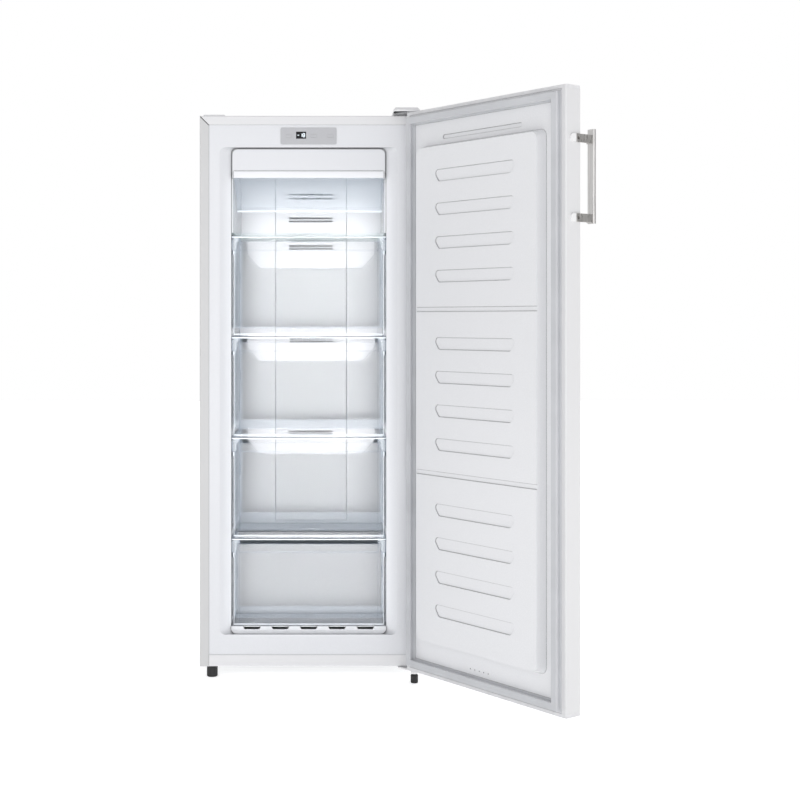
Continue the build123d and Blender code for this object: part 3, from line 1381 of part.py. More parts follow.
with BuildPart() as top_hinge_plate:
    with BuildSketch(side_on(TOP_HINGE_LEFT)):
        folded_sheet(
            (
                (TOP_HINGE_BACK, HEIGHT),
                (2 * BEND, HEIGHT),
                (0, HEIGHT + HINGE_LIFT),
                (-PIVOT_OUT - HINGE_NOSE, HEIGHT + HINGE_LIFT),
            ),
            thick=HINGE_PLATE,
            side=Side.RIGHT,
        )
    extrude(amount=WIDTH)
    with BuildSketch(plan(HEIGHT - SHEET)):
        hinge_outline(TOP_HINGE_LEFT, TOP_HINGE_BACK)
    extrude(amount=HINGE_LIFT + 2 * HINGE_PLATE, mode=Mode.INTERSECT)
    with Locations((PIVOT_X, PIVOT_Y, HEIGHT + HINGE_LIFT)):
        Cylinder(PIN_RADIUS, PIN_LENGTH + CHEEK, align=BELOW)
    with Locations(*[(HINGE_SCREW_X, FRONT + d, HEIGHT + HINGE_PLATE) for d in HINGE_SCREW_DEPTHS]):
        Hole(SCREW_RADIUS + SCREW_PLAY)
save(top_hinge_plate.part, "top_hinge_plate")

with BuildPart() as top_hinge_screws:
    plate_top = HEIGHT + HINGE_PLATE
    with Locations(*[(HINGE_SCREW_X, FRONT + d, plate_top) for d in HINGE_SCREW_DEPTHS]):
        Cylinder(SCREW_HEAD, SCREW_HEAD_HIGH, align=ON_TOP)
        Cylinder(SCREW_RADIUS, SCREW_LENGTH, align=BELOW)
save(top_hinge_screws.part, "top_hinge_screws")


def cover_form(inset):
    """The hinge cover's outer form, or the space inside it, moved in by the wall."""
    width = COVER_RIGHT - COVER_LEFT - 2 * inset
    length = COVER_BACK + COVER_FRONT - 2 * inset
    with BuildPart() as form:
        with BuildSketch(plan(HEIGHT)):
            with Locations(((COVER_LEFT + COVER_RIGHT) / 2, (COVER_BACK - COVER_FRONT) / 2)):
                RectangleRounded(width, length, COVER_BEVEL - inset)
        extrude(amount=COVER_TOP - inset)
        right_edge = form.faces().sort_by(Axis.Z)[-1].edges().sort_by(Axis.X)[-1]
        chamfer(right_edge, COVER_BEVEL - inset)
    return form.part


cover_outside = cover_form(0.0)
cover_inside = cover_form(COVER_WALL)

with BuildPart() as top_hinge_cover:
    add(cover_outside)
    add(cover_inside, mode=Mode.SUBTRACT)
    block(  # the front of the cover clears the door
        (COVER_LEFT - 1, COVER_RIGHT + 1),
        (-COVER_FRONT - 1, COVER_CLEAR),
        (HEIGHT - 1, HEIGHT + COVER_LIFT),
        mode=Mode.SUBTRACT,
    )
save(top_hinge_cover.part, "top_hinge_cover")

with BuildPart() as hinge_hole_cover:
    with BuildSketch(plan(HEIGHT)) as small_cover:
        with Locations((HOLE_COVER_LEFT + HOLE_COVER_WIDTH / 2, 2 * BEND + HOLE_COVER_LENGTH / 2)):
            Rectangle(HOLE_COVER_WIDTH, HOLE_COVER_LENGTH)
        fillet(small_cover.vertices(), BEND)
    extrude(amount=HOLE_COVER_THICK)
    chamfer(hinge_hole_cover.faces().sort_by(Axis.Z)[-1].edges(), SHEET)
save(hinge_hole_cover.part, "hinge_hole_cover")

with BuildPart() as lower_hinge:
    with BuildSketch(plan(UNDERSIDE - LOWER_PLATE)):
        hinge_outline(LOWER_HINGE_LEFT, LOWER_HINGE_BACK)
    extrude(amount=LOWER_PLATE)
    with Locations((PIVOT_X, PIVOT_Y, UNDERSIDE)):
        Cylinder(PIN_RADIUS, PIN_LENGTH + CHEEK, align=ON_TOP)
    with Locations((PIVOT_X, PIVOT_Y, UNDERSIDE - LOWER_PLATE)):
        Cylinder(BOSS_RADIUS, BOSS_HEIGHT, align=BELOW)
    with Locations((PIVOT_X, PIVOT_Y, UNDERSIDE - LOWER_PLATE - BOSS_HEIGHT)):
        Cylinder(STUD_RADIUS + RUNNING, BOSS_HEIGHT + CHEEK / 2, align=ON_TOP, mode=Mode.SUBTRACT)
    with Locations(*[(HINGE_SCREW_X, FRONT + d, UNDERSIDE) for d in HINGE_SCREW_DEPTHS]):
        Hole(SCREW_RADIUS + SCREW_PLAY)
save(lower_hinge.part, "lower_hinge")

with BuildPart() as lower_hinge_screws:
    plate_under = UNDERSIDE - LOWER_PLATE
    with Locations(*[(HINGE_SCREW_X, FRONT + d, plate_under) for d in HINGE_SCREW_DEPTHS]):
        Cylinder(SCREW_HEAD, SCREW_HEAD_HIGH, align=BELOW)
        Cylinder(SCREW_RADIUS, SCREW_LENGTH, align=ON_TOP)
save(lower_hinge_screws.part, "lower_hinge_screws")


def levelling_foot(x, y, radius, height, stud):
    """A turning foot: a pad that narrows to a neck, with a stud above it."""
    with BuildPart() as foot:
        with BuildSketch(Plane(origin=(x, y, 0), x_dir=(1, 0, 0), z_dir=(0, -1, 0))):
            with BuildLine():
                Polyline(
                    (0, 0),
                    (radius - FOOT_EDGE, 0),
                    (radius, FOOT_EDGE),
                    (radius, height - FOOT_EDGE),
                    (radius - FOOT_EDGE, height),
                    (STUD_RADIUS, height),
                    (STUD_RADIUS, height + stud - FOOT_EDGE / 2),
                    (STUD_RADIUS - FOOT_EDGE / 2, height + stud),
                    (0, height + stud),
                    close=True,
                )
            make_face()
        revolve(axis=Axis((x, y, 0), (0, 0, 1)))
    return foot.part


left_foot = levelling_foot(FOOT_X, FRONT + FOOT_DEPTH, FOOT_RADIUS, FOOT_HEIGHT, STUD_LENGTH)
save(left_foot, "foot_left")
HINGE_STUD = UNDERSIDE - LOWER_PLATE - HINGE_FOOT_HEIGHT
hinge_foot = levelling_foot(PIVOT_X, PIVOT_Y, HINGE_FOOT_RADIUS, HINGE_FOOT_HEIGHT, HINGE_STUD)
save(hinge_foot, "foot_right")

# ------------------------------------------------------------------ machine space
TRAY_UNDER = TRAY_HEIGHT - TRAY_SHEET

with BuildPart() as compressor_tray:
    with BuildSketch(side_on()):
        folded_sheet(
            (
                (TRAY_FRONT, TRAY_HEIGHT - TRAY_LIP),
                (TRAY_FRONT, TRAY_HEIGHT),
                (TRAY_REAR, TRAY_HEIGHT),
                (TRAY_REAR, TRAY_HEIGHT - TRAY_LIP),
            ),
            thick=TRAY_SHEET,
            side=Side.RIGHT,
        )
    extrude(amount=SIDE - SHEET, both=True)
save(compressor_tray.part, "compressor_tray")

with BuildPart() as roller_brackets:
    for x in (-ROLLER_X, ROLLER_X):
        half = ROLLER_WIDTH / 2 + SHEET
        for cheek in (-half - CHEEK, half):
            with BuildSketch(side_on(x + cheek)) as cheek_side:
                with Locations((ROLLER_DEPTH, ROLLER_RADIUS)):
                    Circle(2 * AXLE_RADIUS)
                with Locations((ROLLER_DEPTH, (ROLLER_RADIUS + TRAY_UNDER) / 2)):
                    Rectangle(4 * AXLE_RADIUS, TRAY_UNDER - ROLLER_RADIUS)
            extrude(amount=CHEEK)
        with BuildSketch(side_on(x - half - CHEEK)):
            with Locations((ROLLER_DEPTH, ROLLER_RADIUS)):
                Circle(AXLE_RADIUS)
        extrude(amount=2 * (half + CHEEK))
        block(
            (x - half - CHEEK, x + half + CHEEK),
            (ROLLER_DEPTH - 2 * AXLE_RADIUS, ROLLER_DEPTH + 2 * AXLE_RADIUS),
            (TRAY_UNDER - CHEEK, TRAY_UNDER),
        )
save(roller_brackets.part, "roller_brackets")

for x, name in ((-ROLLER_X, "roller_left"), (ROLLER_X, "roller_right")):
    with BuildPart() as roller:
        with BuildSketch(side_on(x)):
            with Locations((ROLLER_DEPTH, ROLLER_RADIUS)):
                Circle(ROLLER_RADIUS)
                Circle(AXLE_RADIUS + RUNNING, mode=Mode.SUBTRACT)
        extrude(amount=ROLLER_WIDTH / 2, both=True)
        rims = roller.edges().filter_by(GeomType.CIRCLE).group_by(SortBy.RADIUS)[-1]
        chamfer(rims, SHEET)
    save(roller.part, name)

GROMMET_TOP = TRAY_HEIGHT + GROMMET_HEIGHT
SHELL_BOTTOM = GROMMET_TOP + BEND
SHELL_TOP = SHELL_BOTTOM + COMPRESSOR_HEIGHT
PIPE_STUBS = [(COMPRESSOR_DEPTH + back, SHELL_BOTTOM + up) for back, up in STUB_OFFSETS]

with BuildPart() as compressor:
    with BuildSketch(
        Plane(
            origin=(COMPRESSOR_X, FRONT + COMPRESSOR_DEPTH, 0),
            x_dir=(1, 0, 0),
            z_dir=(0, -1, 0),
        )
    ):
        with BuildLine():  # domed shell with a welded seam round the middle
            seam = (SHELL_BOTTOM + SHELL_TOP) / 2
            flat = COMPRESSOR_RADIUS - DOME
            lid = COMPRESSOR_RADIUS - SHEET
            Polyline((0, SHELL_TOP), (0, SHELL_BOTTOM), (flat, SHELL_BOTTOM))
            RadiusArc((flat, SHELL_BOTTOM), (COMPRESSOR_RADIUS, SHELL_BOTTOM + DOME), -DOME)
            Polyline(
                (COMPRESSOR_RADIUS, SHELL_BOTTOM + DOME),
                (COMPRESSOR_RADIUS, seam),
                (COMPRESSOR_RADIUS + BEND, seam),
                (COMPRESSOR_RADIUS + BEND, seam + BEND),
                (lid, seam + BEND),
                (lid, SHELL_TOP - DOME),
            )
            RadiusArc((lid, SHELL_TOP - DOME), (lid - DOME, SHELL_TOP), -DOME)
            Line((lid - DOME, SHELL_TOP), (0, SHELL_TOP))
        make_face()
    revolve(axis=Axis((COMPRESSOR_X, FRONT + COMPRESSOR_DEPTH, 0), (0, 0, 1)))
    with BuildSketch(plan(GROMMET_TOP)) as sole:  # mounting plate under the shell
        with Locations((COMPRESSOR_X, COMPRESSOR_DEPTH)):
            RectangleRounded(*SOLE, GROMMET_RADIUS)
            with GridLocations(SOLE[0] - 3 * GROMMET_RADIUS, SOLE[1] - 3 * GROMMET_RADIUS, 2, 2):
                Circle(AXLE_RADIUS + SHEET, mode=Mode.SUBTRACT)
    extrude(amount=BEND)
    block(
        (COMPRESSOR_X - COMPRESSOR_RADIUS / 2, COMPRESSOR_X + COMPRESSOR_RADIUS / 2),
        (COMPRESSOR_DEPTH - COMPRESSOR_RADIUS / 2, COMPRESSOR_DEPTH + COMPRESSOR_RADIUS / 2),
        (GROMMET_TOP, SHELL_BOTTOM + 2 * BEND),
    )
    with BuildSketch(side_on(COMPRESSOR_X)):  # stubs that take the pipes
        with Locations(*PIPE_STUBS):
            Circle(PIPE_RADIUS + SHEET)
    extrude(amount=COMPRESSOR_RADIUS + BEND)
save(compressor.part, "compressor")

with BuildPart() as compressor_grommets:
    with Locations((COMPRESSOR_X, FRONT + COMPRESSOR_DEPTH, TRAY_HEIGHT)):
        with GridLocations(SOLE[0] - 3 * GROMMET_RADIUS, SOLE[1] - 3 * GROMMET_RADIUS, 2, 2):
            Cylinder(GROMMET_RADIUS, GROMMET_HEIGHT, align=ON_TOP)
            Cylinder(AXLE_RADIUS, GROMMET_HEIGHT + 2 * BEND, align=ON_TOP)
save(compressor_grommets.part, "compressor_grommets")

with BuildPart() as terminal_box:
    box_left = COMPRESSOR_X + COMPRESSOR_RADIUS + BEND + SEAT_GAP
    box_middle = (SHELL_BOTTOM + SHELL_TOP) / 2
    with BuildSketch(side_on(box_left)) as box_side:
        with Locations((COMPRESSOR_DEPTH, box_middle)):
            RectangleRounded(*TERMINAL_BOX, BEND)
    extrude(amount=TERMINAL_BOX_DEEP)
    fillet(terminal_box.faces().sort_by(Axis.X)[-1].edges(), SHEET)
    with BuildSketch(side_on(box_left - BEND)):
        with Locations((COMPRESSOR_DEPTH, box_middle - 4 * BEND)):
            Rectangle(TERMINAL_BOX[0] / 3, TERMINAL_BOX[1] / 4)
    extrude(amount=BEND)
save(terminal_box.part, "terminal_box")

PAN_BOTTOM = SHELL_TOP + SEAT_GAP

with BuildPart() as evaporating_pan:
    with BuildSketch(plan(PAN_BOTTOM)) as pan_plan:
        with Locations((COMPRESSOR_X, COMPRESSOR_DEPTH)):
            RectangleRounded(PAN[0], PAN[1], TUB_CORNER)
    extrude(amount=PAN[2], taper=-4)
    with BuildSketch(plan(PAN_BOTTOM + SILL_WALL)):
        with Locations((COMPRESSOR_X, COMPRESSOR_DEPTH)):
            RectangleRounded(PAN[0] - 2 * SILL_WALL, PAN[1] - 2 * SILL_WALL, TUB_CORNER - SILL_WALL)
    extrude(amount=PAN[2], taper=-4, mode=Mode.SUBTRACT)
save(evaporating_pan.part, "evaporating_pan")

with BuildPart() as filter_drier:
    drier_top = DRIER_BOTTOM + DRIER_LENGTH
    with BuildSketch(
        Plane(origin=(DRIER_X, FRONT + DRIER_DEPTH, 0), x_dir=(1, 0, 0), z_dir=(0, -1, 0))
    ):
        with BuildLine():
            Polyline(
                (0, DRIER_BOTTOM),
                (PIPE_RADIUS, DRIER_BOTTOM),
                (DRIER_RADIUS, DRIER_BOTTOM + DRIER_RADIUS),
                (DRIER_RADIUS, drier_top - DRIER_RADIUS),
                (PIPE_RADIUS, drier_top),
                (0, drier_top),
                close=True,
            )
        make_face()
    revolve(axis=Axis((DRIER_X, FRONT + DRIER_DEPTH, 0), (0, 0, 1)))
save(filter_drier.part, "filter_drier")

PIPE_START = COMPRESSOR_X + COMPRESSOR_RADIUS + BEND
OUTLET, INTAKE = PIPE_STUBS
PIPE_PATHS = (
    (  # from the shell to the foot of the drier
        (PIPE_START, *OUTLET),
        (DRIER_X, *OUTLET),
        (DRIER_X, DRIER_DEPTH, OUTLET[1]),
        (DRIER_X, DRIER_DEPTH, DRIER_BOTTOM),
    ),
    (  # from the top of the drier up through the partition
        (DRIER_X, DRIER_DEPTH, DRIER_BOTTOM + DRIER_LENGTH),
        (DRIER_X, DRIER_DEPTH, MACHINE_TOP),
    ),
    (  # return pipe down to the shell
        (RETURN_X, DRIER_DEPTH, MACHINE_TOP),
        (RETURN_X, DRIER_DEPTH, INTAKE[1]),
        (RETURN_X, *INTAKE),
        (PIPE_START, *INTAKE),
    ),
)

with BuildPart() as refrigerant_pipes:
    for points in PIPE_PATHS:
        route = [(x, FRONT + depth, z) for x, depth, z in points]
        with BuildLine() as path:
            if len(route) > 2:
                FilletPolyline(*route, radius=3 * PIPE_RADIUS)
            else:
                Line(*route)
        with BuildSketch(Plane(path.line @ 0, z_dir=path.line % 0)):
            Circle(PIPE_RADIUS)
        sweep(path=path.line)
save(refrigerant_pipes.part, "refrigerant_pipes")

with BuildPart() as mains_inlet:
    inlet_z = TRAY_HEIGHT + INLET[1] / 2
    with BuildSketch(at_depth(TRAY_REAR - INLET_DEEP)):
        with Locations((INLET_X, inlet_z)):
            RectangleRounded(INLET[0], INLET[1], BEND)
    extrude(amount=-INLET_DEEP)
    with BuildSketch(at_depth(TRAY_REAR + 1)):
        with Locations((INLET_X, inlet_z)):
            RectangleRounded(INLET[0] - 2 * BEND, INLET[1] - 2 * BEND, BEND)
    extrude(amount=INLET_DEEP - 2 * BEND, mode=Mode.SUBTRACT)
    with BuildSketch(at_depth(TRAY_REAR - 2 * CHEEK)):  # three flat contacts
        with Locations(
            (INLET_X - INLET[0] / 5, inlet_z - CHEEK),
            (INLET_X, inlet_z + CHEEK),
            (INLET_X + INLET[0] / 5, inlet_z - CHEEK),
        ):
            Rectangle(CHEEK, 2 * CHEEK)
    extrude(amount=INLET_DEEP - 2 * BEND)
save(mains_inlet.part, "mains_inlet")
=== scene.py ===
import json
from math import cos, pi, radians, sin

import bmesh
import bpy
from bpy.props import FloatProperty, FloatVectorProperty, PointerProperty, StringProperty
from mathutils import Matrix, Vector


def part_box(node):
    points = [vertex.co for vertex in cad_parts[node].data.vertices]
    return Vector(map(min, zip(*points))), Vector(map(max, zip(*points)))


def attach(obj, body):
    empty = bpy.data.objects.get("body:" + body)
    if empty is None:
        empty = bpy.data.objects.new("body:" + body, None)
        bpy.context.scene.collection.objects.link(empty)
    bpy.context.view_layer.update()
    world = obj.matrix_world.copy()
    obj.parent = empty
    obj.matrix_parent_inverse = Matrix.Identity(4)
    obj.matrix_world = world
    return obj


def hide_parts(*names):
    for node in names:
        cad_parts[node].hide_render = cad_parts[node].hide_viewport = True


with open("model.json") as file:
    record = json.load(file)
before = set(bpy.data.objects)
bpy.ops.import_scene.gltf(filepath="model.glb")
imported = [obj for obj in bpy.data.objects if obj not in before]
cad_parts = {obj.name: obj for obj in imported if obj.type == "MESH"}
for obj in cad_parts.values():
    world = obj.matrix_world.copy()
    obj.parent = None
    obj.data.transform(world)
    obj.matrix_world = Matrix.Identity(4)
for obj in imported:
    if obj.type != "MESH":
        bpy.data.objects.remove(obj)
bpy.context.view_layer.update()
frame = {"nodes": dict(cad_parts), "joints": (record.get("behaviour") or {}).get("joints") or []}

bl_info = {
    "name": "Upright freezer",
    "version": (1, 0, 0),
    "blender": (4, 5, 0),
    "location": "View3D > Sidebar > Freezer",
    "description": "Finishes and fine details of an upright freezer with its door open",
    "category": "Add Mesh",
}

NODES = frame["nodes"]
MM = 0.001

SWING = next(joint for joint in frame["joints"] if joint["name"] == "door_swing")
PIVOT = Vector(SWING["pos_m"])
OPEN = radians(-SWING["range_deg"][0])  # how far the door stands open
TO_HINGE = Vector((cos(OPEN), sin(OPEN), 0))  # along the door to its hinge edge
INWARD = Vector((-sin(OPEN), cos(OPEN), 0))  # out of the door's inner face

# Half of the seal's section, as (share of its width, share of its height): a flat base,
# a folding neck and a head that holds the magnet strip. The other half mirrors it.
SEAL_HALF = (
    (0.000, 0.00),
    (0.000, 0.10),
    (0.055, 0.18),
    (0.190, 0.215),
    (0.255, 0.28),
    (0.300, 0.37),
    (0.272, 0.46),
    (0.200, 0.53),
    (0.136, 0.60),
    (0.114, 0.69),
    (0.114, 0.90),
    (0.155, 0.975),
    (0.236, 1.00),
    (0.409, 0.985),
    (0.500, 0.970),
)

# A clear runner block, seen from the front, as millimetres (inwards, down) from the
# upper corner of a drawer's front.
BLOCK_OUTLINE = ((0, 0), (17, 0), (17, 9), (12, 16), (12, 31), (8, 36), (0, 36))

# How much a clear piece hides, as (seen square on, seen along its surface).
DRAWER_COVER = (0.005, 0.30)
FLAP_COVER = (0.10, 0.35)
GLASS_COVER = (0.05, 0.30)
BLOCK_COVER = (0.22, 0.60)

# Painted light on clear plastic: marks as (colour, how much they hide), and how far it glows by
# itself.
# Painted shade along the corners of clear plastic.
PAINTED_CORNER_SHADE = ((0.16, 0.22, 0.32), 0.45)
# Painted shade where the gap beside a drawer lies in shadow.
PAINTED_GAP_SHADE = ((0.02, 0.03, 0.045), 0.85)
# Painted highlight on rims where clear plastic gathers light.
PAINTED_RIM_HIGHLIGHT = 0.6
# Painted glow: clear plastic gives off light, though it is no lamp.
PAINTED_CLEAR_GLOW = 0.45

# How far the painted shade in grooves darkens, from 0 to 1, on the tub, its covers and the door's
# liner.
TUB_GROOVE_SHADE = 1.0
COVER_GROOVE_SHADE = 0.8
DOOR_GROOVE_SHADE = 0.3
COVER_REACH = 1.5  # reach on the covers, in reaches of the door's liner
# The tub's painted shade lies in a band along the gaps beside the drawers.
SHADED_DEPTH = 0.7  # share of the gap's depth that is darkened on the tub
SHADED_REACH = 0.2  # share of the gap's depth that is the reach on the tub

# Outline of one arm of a cross recess, as shares of half its length and half its width.
RECESS_ARM = (
    (-1, -0.2),
    (-0.8, -1),
    (0.8, -1),
    (1, -0.2),
    (1, 0.2),
    (0.8, 1),
    (-0.8, 1),
    (-1, 0.2),
)

# Strokes of the display's figures, as (middle across, middle up, upright) in units of
# half a figure's width and half its height.
STROKES = {
    "top": (0, 1, False),
    "middle": (0, 0, False),
    "foot": (0, -1, False),
    "upper_left": (-1, 0.5, True),
    "upper_right": (1, 0.5, True),
    "lower_left": (-1, -0.5, True),
    "lower_right": (1, -0.5, True),
}
FIGURES = {
    "-": ("middle",),
    "0": ("top", "foot", "upper_left", "upper_right", "lower_left", "lower_right"),
    "1": ("upper_right", "lower_right"),
    "2": ("top", "upper_right", "middle", "lower_left", "foot"),
    "3": ("top", "upper_right", "middle", "lower_right", "foot"),
    "4": ("upper_left", "middle", "upper_right", "lower_right"),
    "5": ("top", "upper_left", "middle", "lower_right", "foot"),
    "6": ("top", "upper_left", "middle", "lower_left", "lower_right", "foot"),
    "7": ("top", "upper_right", "lower_right"),
    "8": tuple(STROKES),
    "9": ("top", "upper_left", "upper_right", "middle", "lower_right", "foot"),
}


# ---------------------------------------------------------------- settings
def colour_property(name, description, default):
    """A colour that a user picks, shown with a swatch."""
    return FloatVectorProperty(
        name=name,
        description=description,
        default=default,
        subtype="COLOR",
        size=3,
        min=0.0,
        max=1.0,
    )


def length_property(name, description, millimetres):
    """A length that a user sets, kept in metres."""
    return FloatProperty(
        name=name,
        description=description,
        default=millimetres * MM,
        min=0.0,
        unit="LENGTH",
        precision=5,
    )


class FreezerColours(bpy.types.PropertyGroup):
    """Colours of the freezer's finishes."""

    paint: colour_property("Paint", "Painted top and crossbar of the cabinet", (0.80, 0.80, 0.81))
    door_paint: colour_property(
        "Door paint", "Painted outer sheet of the door", (0.75, 0.75, 0.755)
    )
    sides: colour_property(
        "Side paint", "Painted side sheets and their front flanges", (0.64, 0.64, 0.64)
    )
    liner: colour_property("Liner", "Moulded white tub and its covers", (0.79, 0.80, 0.825))
    clear: colour_property("Clear plastic", "Tint of drawers and flap", (0.74, 0.84, 0.95))
    # Colour of the painted highlights on clear rims, also the runner blocks' tint.
    edges: colour_property("Lit edges", "Edges of the clear plastic", (0.80, 0.84, 0.88))
    glass: colour_property("Shelf glass", "Tint of the glass shelf", (0.62, 0.76, 0.74))
    panel: colour_property("Panel", "Control panel and its buttons", (0.52, 0.525, 0.545))
    display: colour_property("Display", "Smoked window of the display", (0.006, 0.007, 0.009))
    figures: colour_property("Figures", "Lit figures of the display", (0.85, 0.93, 1.0))
    door_liner: colour_property("Door liner", "Moulded inner face of the door", (0.82, 0.825, 0.84))
    gasket: colour_property("Seal", "Soft seal round the door", (0.58, 0.59, 0.61))
    caps: colour_property("Door caps", "Mouldings that close the door's ends", (0.74, 0.74, 0.75))
    handle: colour_property("Handle", "Satin metal of the handle bar", (0.72, 0.71, 0.695))
    posts: colour_property(
        "Handle posts", "Satin metal of the handle's posts", (0.58, 0.565, 0.545)
    )
    blocks: colour_property("Handle blocks", "White mouldings under the bar", (0.86, 0.86, 0.86))
    screws: colour_property("Screws", "Plated screw heads", (0.20, 0.19, 0.185))
    hinge: colour_property("Hinges", "Plated hinge plates", (0.72, 0.72, 0.725))
    black: colour_property(
        "Black mouldings", "Feet, rollers and motor parts", (0.012, 0.012, 0.013)
    )
    grey: colour_property("Grey mouldings", "Fan, troughs and bushes", (0.44, 0.45, 0.46))
    zinc: colour_property("Zinc sheet", "Unpainted sheet at the back", (0.58, 0.59, 0.60))
    foam: colour_property("Foam", "Insulating foam", (0.72, 0.60, 0.34))
    board: colour_property("Board", "Lacquered circuit board", (0.02, 0.10, 0.035))
    fins: colour_property("Fins", "Bare aluminium of the evaporator", (0.74, 0.75, 0.76))
    copper: colour_property("Copper", "Refrigerant pipes and drier", (0.62, 0.24, 0.12))


class FreezerDetails(bpy.types.PropertyGroup):
    """Sizes of the details that are made here."""

    reading: StringProperty(
        name="Reading", description="Figures that the display shows", default="-18"
    )
    figure_height: length_property("Figure height", "Height of a display figure", 10.0)
    figure_width: length_property("Figure width", "Width of a display figure", 4.6)
    figure_pitch: length_property("Figure pitch", "From one figure to the next", 7.0)
    stroke: length_property("Stroke", "Width of a figure's strokes", 1.3)
    stroke_raise: length_property("Stroke raise", "How far figures stand proud", 0.15)
    recess_length: length_property("Recess length", "Length of a screw's cross recess", 5.6)
    recess_width: length_property("Recess width", "Width of a screw's cross recess", 1.1)
    nut_across: length_property("Nut across flats", "Lock nut round the lower hinge's boss", 16.0)
    nut_height: length_property("Nut height", "Height of the lock nut", 5.2)
    seal_width: length_property("Seal width", "Width of the door seal's base", 22.0)
    # The lit edges are painted highlights; the groove shade and the lines along clear corners are
    # painted shade.
    edge_band: length_property("Lit edge", "Width of the clear plastic's lit edges", 3.2)
    groove_reach: length_property("Groove shade", "How far out a groove's shade reaches", 2.5)
    corner_line: length_property("Corner line", "Width of the lines along clear corners", 1.6)
    block_depth: length_property("Block depth", "Depth of a drawer's runner blocks", 9.0)
    flange: length_property("Flange", "Width of the cabinet's folded front edge", 23.0)
    # The mitre's dark strip is a painted shadow in the joint.
    mitre: length_property("Mitre", "Width of the dark strip in the flange's corner joint", 1.8)
    # A drawer's dark side line is painted shade; this depth also sets the tub's painted shade band.
    gap_depth: length_property("Gap depth", "How far back a drawer's dark side line runs", 60.0)
    block_height: length_property(
        "Block height", "From a drawer's top to the end of its blocks", 38.0
    )
    # The dark line round a drawer is painted shade.
    gap_line: length_property("Gap line", "Width of the dark line round a drawer", 1.6)
    edge_round: length_property("Edge softness", "Radius by which edges catch light", 0.7)


class FreezerStudio(bpy.types.PropertyGroup):
    """Camera and light round the freezer."""

    camera_place: FloatVectorProperty(
        name="Camera place",
        description="Where the camera stands",
        default=(0.0729, -3.829, 0.915),
        subtype="TRANSLATION",
        unit="LENGTH",
        precision=4,
    )
    lens: FloatProperty(
        name="Lens", description="Focal length", default=63.4, min=1.0, unit="CAMERA"
    )
    shift_right: FloatProperty(
        name="Shift right", description="Sideways lens shift", default=0.0785, precision=4
    )
    shift_up: FloatProperty(
        name="Shift up", description="Upward lens shift", default=-0.1004, precision=4
    )
    floor_size: FloatProperty(
        name="Floor size", description="Width of the floor", default=24.0, min=1.0, unit="LENGTH"
    )
    floor: colour_property("Floor", "Colour of the floor", (0.92, 0.92, 0.92))
    floor_glow: FloatProperty(
        name="Floor glow", description="Light that the floor gives off", default=0.48, min=0.0
    )
    backdrop: colour_property("Backdrop", "Light behind the freezer", (1.0, 1.0, 1.0))
    sides: colour_property("Sides", "Darkening at both sides, for metal edges", (0.35, 0.35, 0.35))
    room: colour_property("Room", "Light behind the camera", (0.46, 0.46, 0.475))
    key_power: FloatProperty(
        name="Key light", description="Power of the high left light", default=20.0, unit="POWER"
    )
    fill_power: FloatProperty(
        name="Fill light", description="Power of the right light", default=18.0, unit="POWER"
    )
    inner_power: FloatProperty(
        name="Inner light",
        description="Power of the light into the tub",
        default=0.78,
        unit="POWER",
    )
    inner_spread: FloatProperty(
        name="Inner spread",
        description="How widely the light into the tub spreads",
        default=radians(18),
        unit="ROTATION",
    )
    inner_distance: length_property("Inner distance", "From the tub's mouth to its light", 250.0)
    front_power: FloatProperty(
        name="Front light",
        description="Power of the light over the camera",
        default=22.0,
        unit="POWER",
    )


# ---------------------------------------------------------------- materials
def start_material(name, roughness=0.4, metallic=0.0, coat=0.0):
    """A new material whose constant values sit on its shader's own sockets."""
    material = bpy.data.materials.new(name)
    material.use_nodes = True
    shader = material.node_tree.nodes["Principled BSDF"]
    shader.inputs["Roughness"].default_value = roughness
    shader.inputs["Metallic"].default_value = metallic
    shader.inputs["Coat Weight"].default_value = coat
    shader.inputs["Coat Roughness"].default_value = 0.12
    return material, material.node_tree, shader


def place_on_object(tree, stretch=(1.0, 1.0, 1.0)):
    """Texture coordinates in metres on the piece itself, stretched along its axes."""
    coordinates = tree.nodes.new("ShaderNodeTexCoord")
    mapping = tree.nodes.new("ShaderNodeMapping")
    mapping.inputs["Scale"].default_value = stretch
    tree.links.new(coordinates.outputs["Object"], mapping.inputs["Vector"])
    return mapping.outputs["Vector"]


def noise_field(tree, scale, detail=3.0, stretch=(1.0, 1.0, 1.0)):
    """A noise value over the piece; scale is its number of features per metre."""
    noise = tree.nodes.new("ShaderNodeTexNoise")
    noise.inputs["Scale"].default_value = scale
    noise.inputs["Detail"].default_value = detail
    tree.links.new(place_on_object(tree, stretch), noise.inputs["Vector"])
    return noise.outputs["Fac"]


def spread_colour(tree, shader, value, colour, spread, low=0.35, high=0.65):
    """The colour, a little darker where the value is low and lighter where it is high."""
    ramp = tree.nodes.new("ShaderNodeValToRGB")
    dark, light = ramp.color_ramp.elements
    dark.position, light.position = low, high
    dark.color = (*(channel * (1 - spread) for channel in colour), 1.0)
    light.color = (*(min(channel * (1 + spread), 1.0) for channel in colour), 1.0)
    tree.links.new(value, ramp.inputs["Fac"])
    tree.links.new(ramp.outputs["Color"], shader.inputs["Base Color"])


def spread_gloss(tree, shader, value, smooth, rough):
    """Roughness that runs from smooth to rough with the value."""
    span = tree.nodes.new("ShaderNodeMapRange")
    span.inputs["From Min"].default_value = 0.3
    span.inputs["From Max"].default_value = 0.7
    span.inputs["To Min"].default_value = smooth
    span.inputs["To Max"].default_value = rough
    tree.links.new(value, span.inputs["Value"])
    tree.links.new(span.outputs["Result"], shader.inputs["Roughness"])


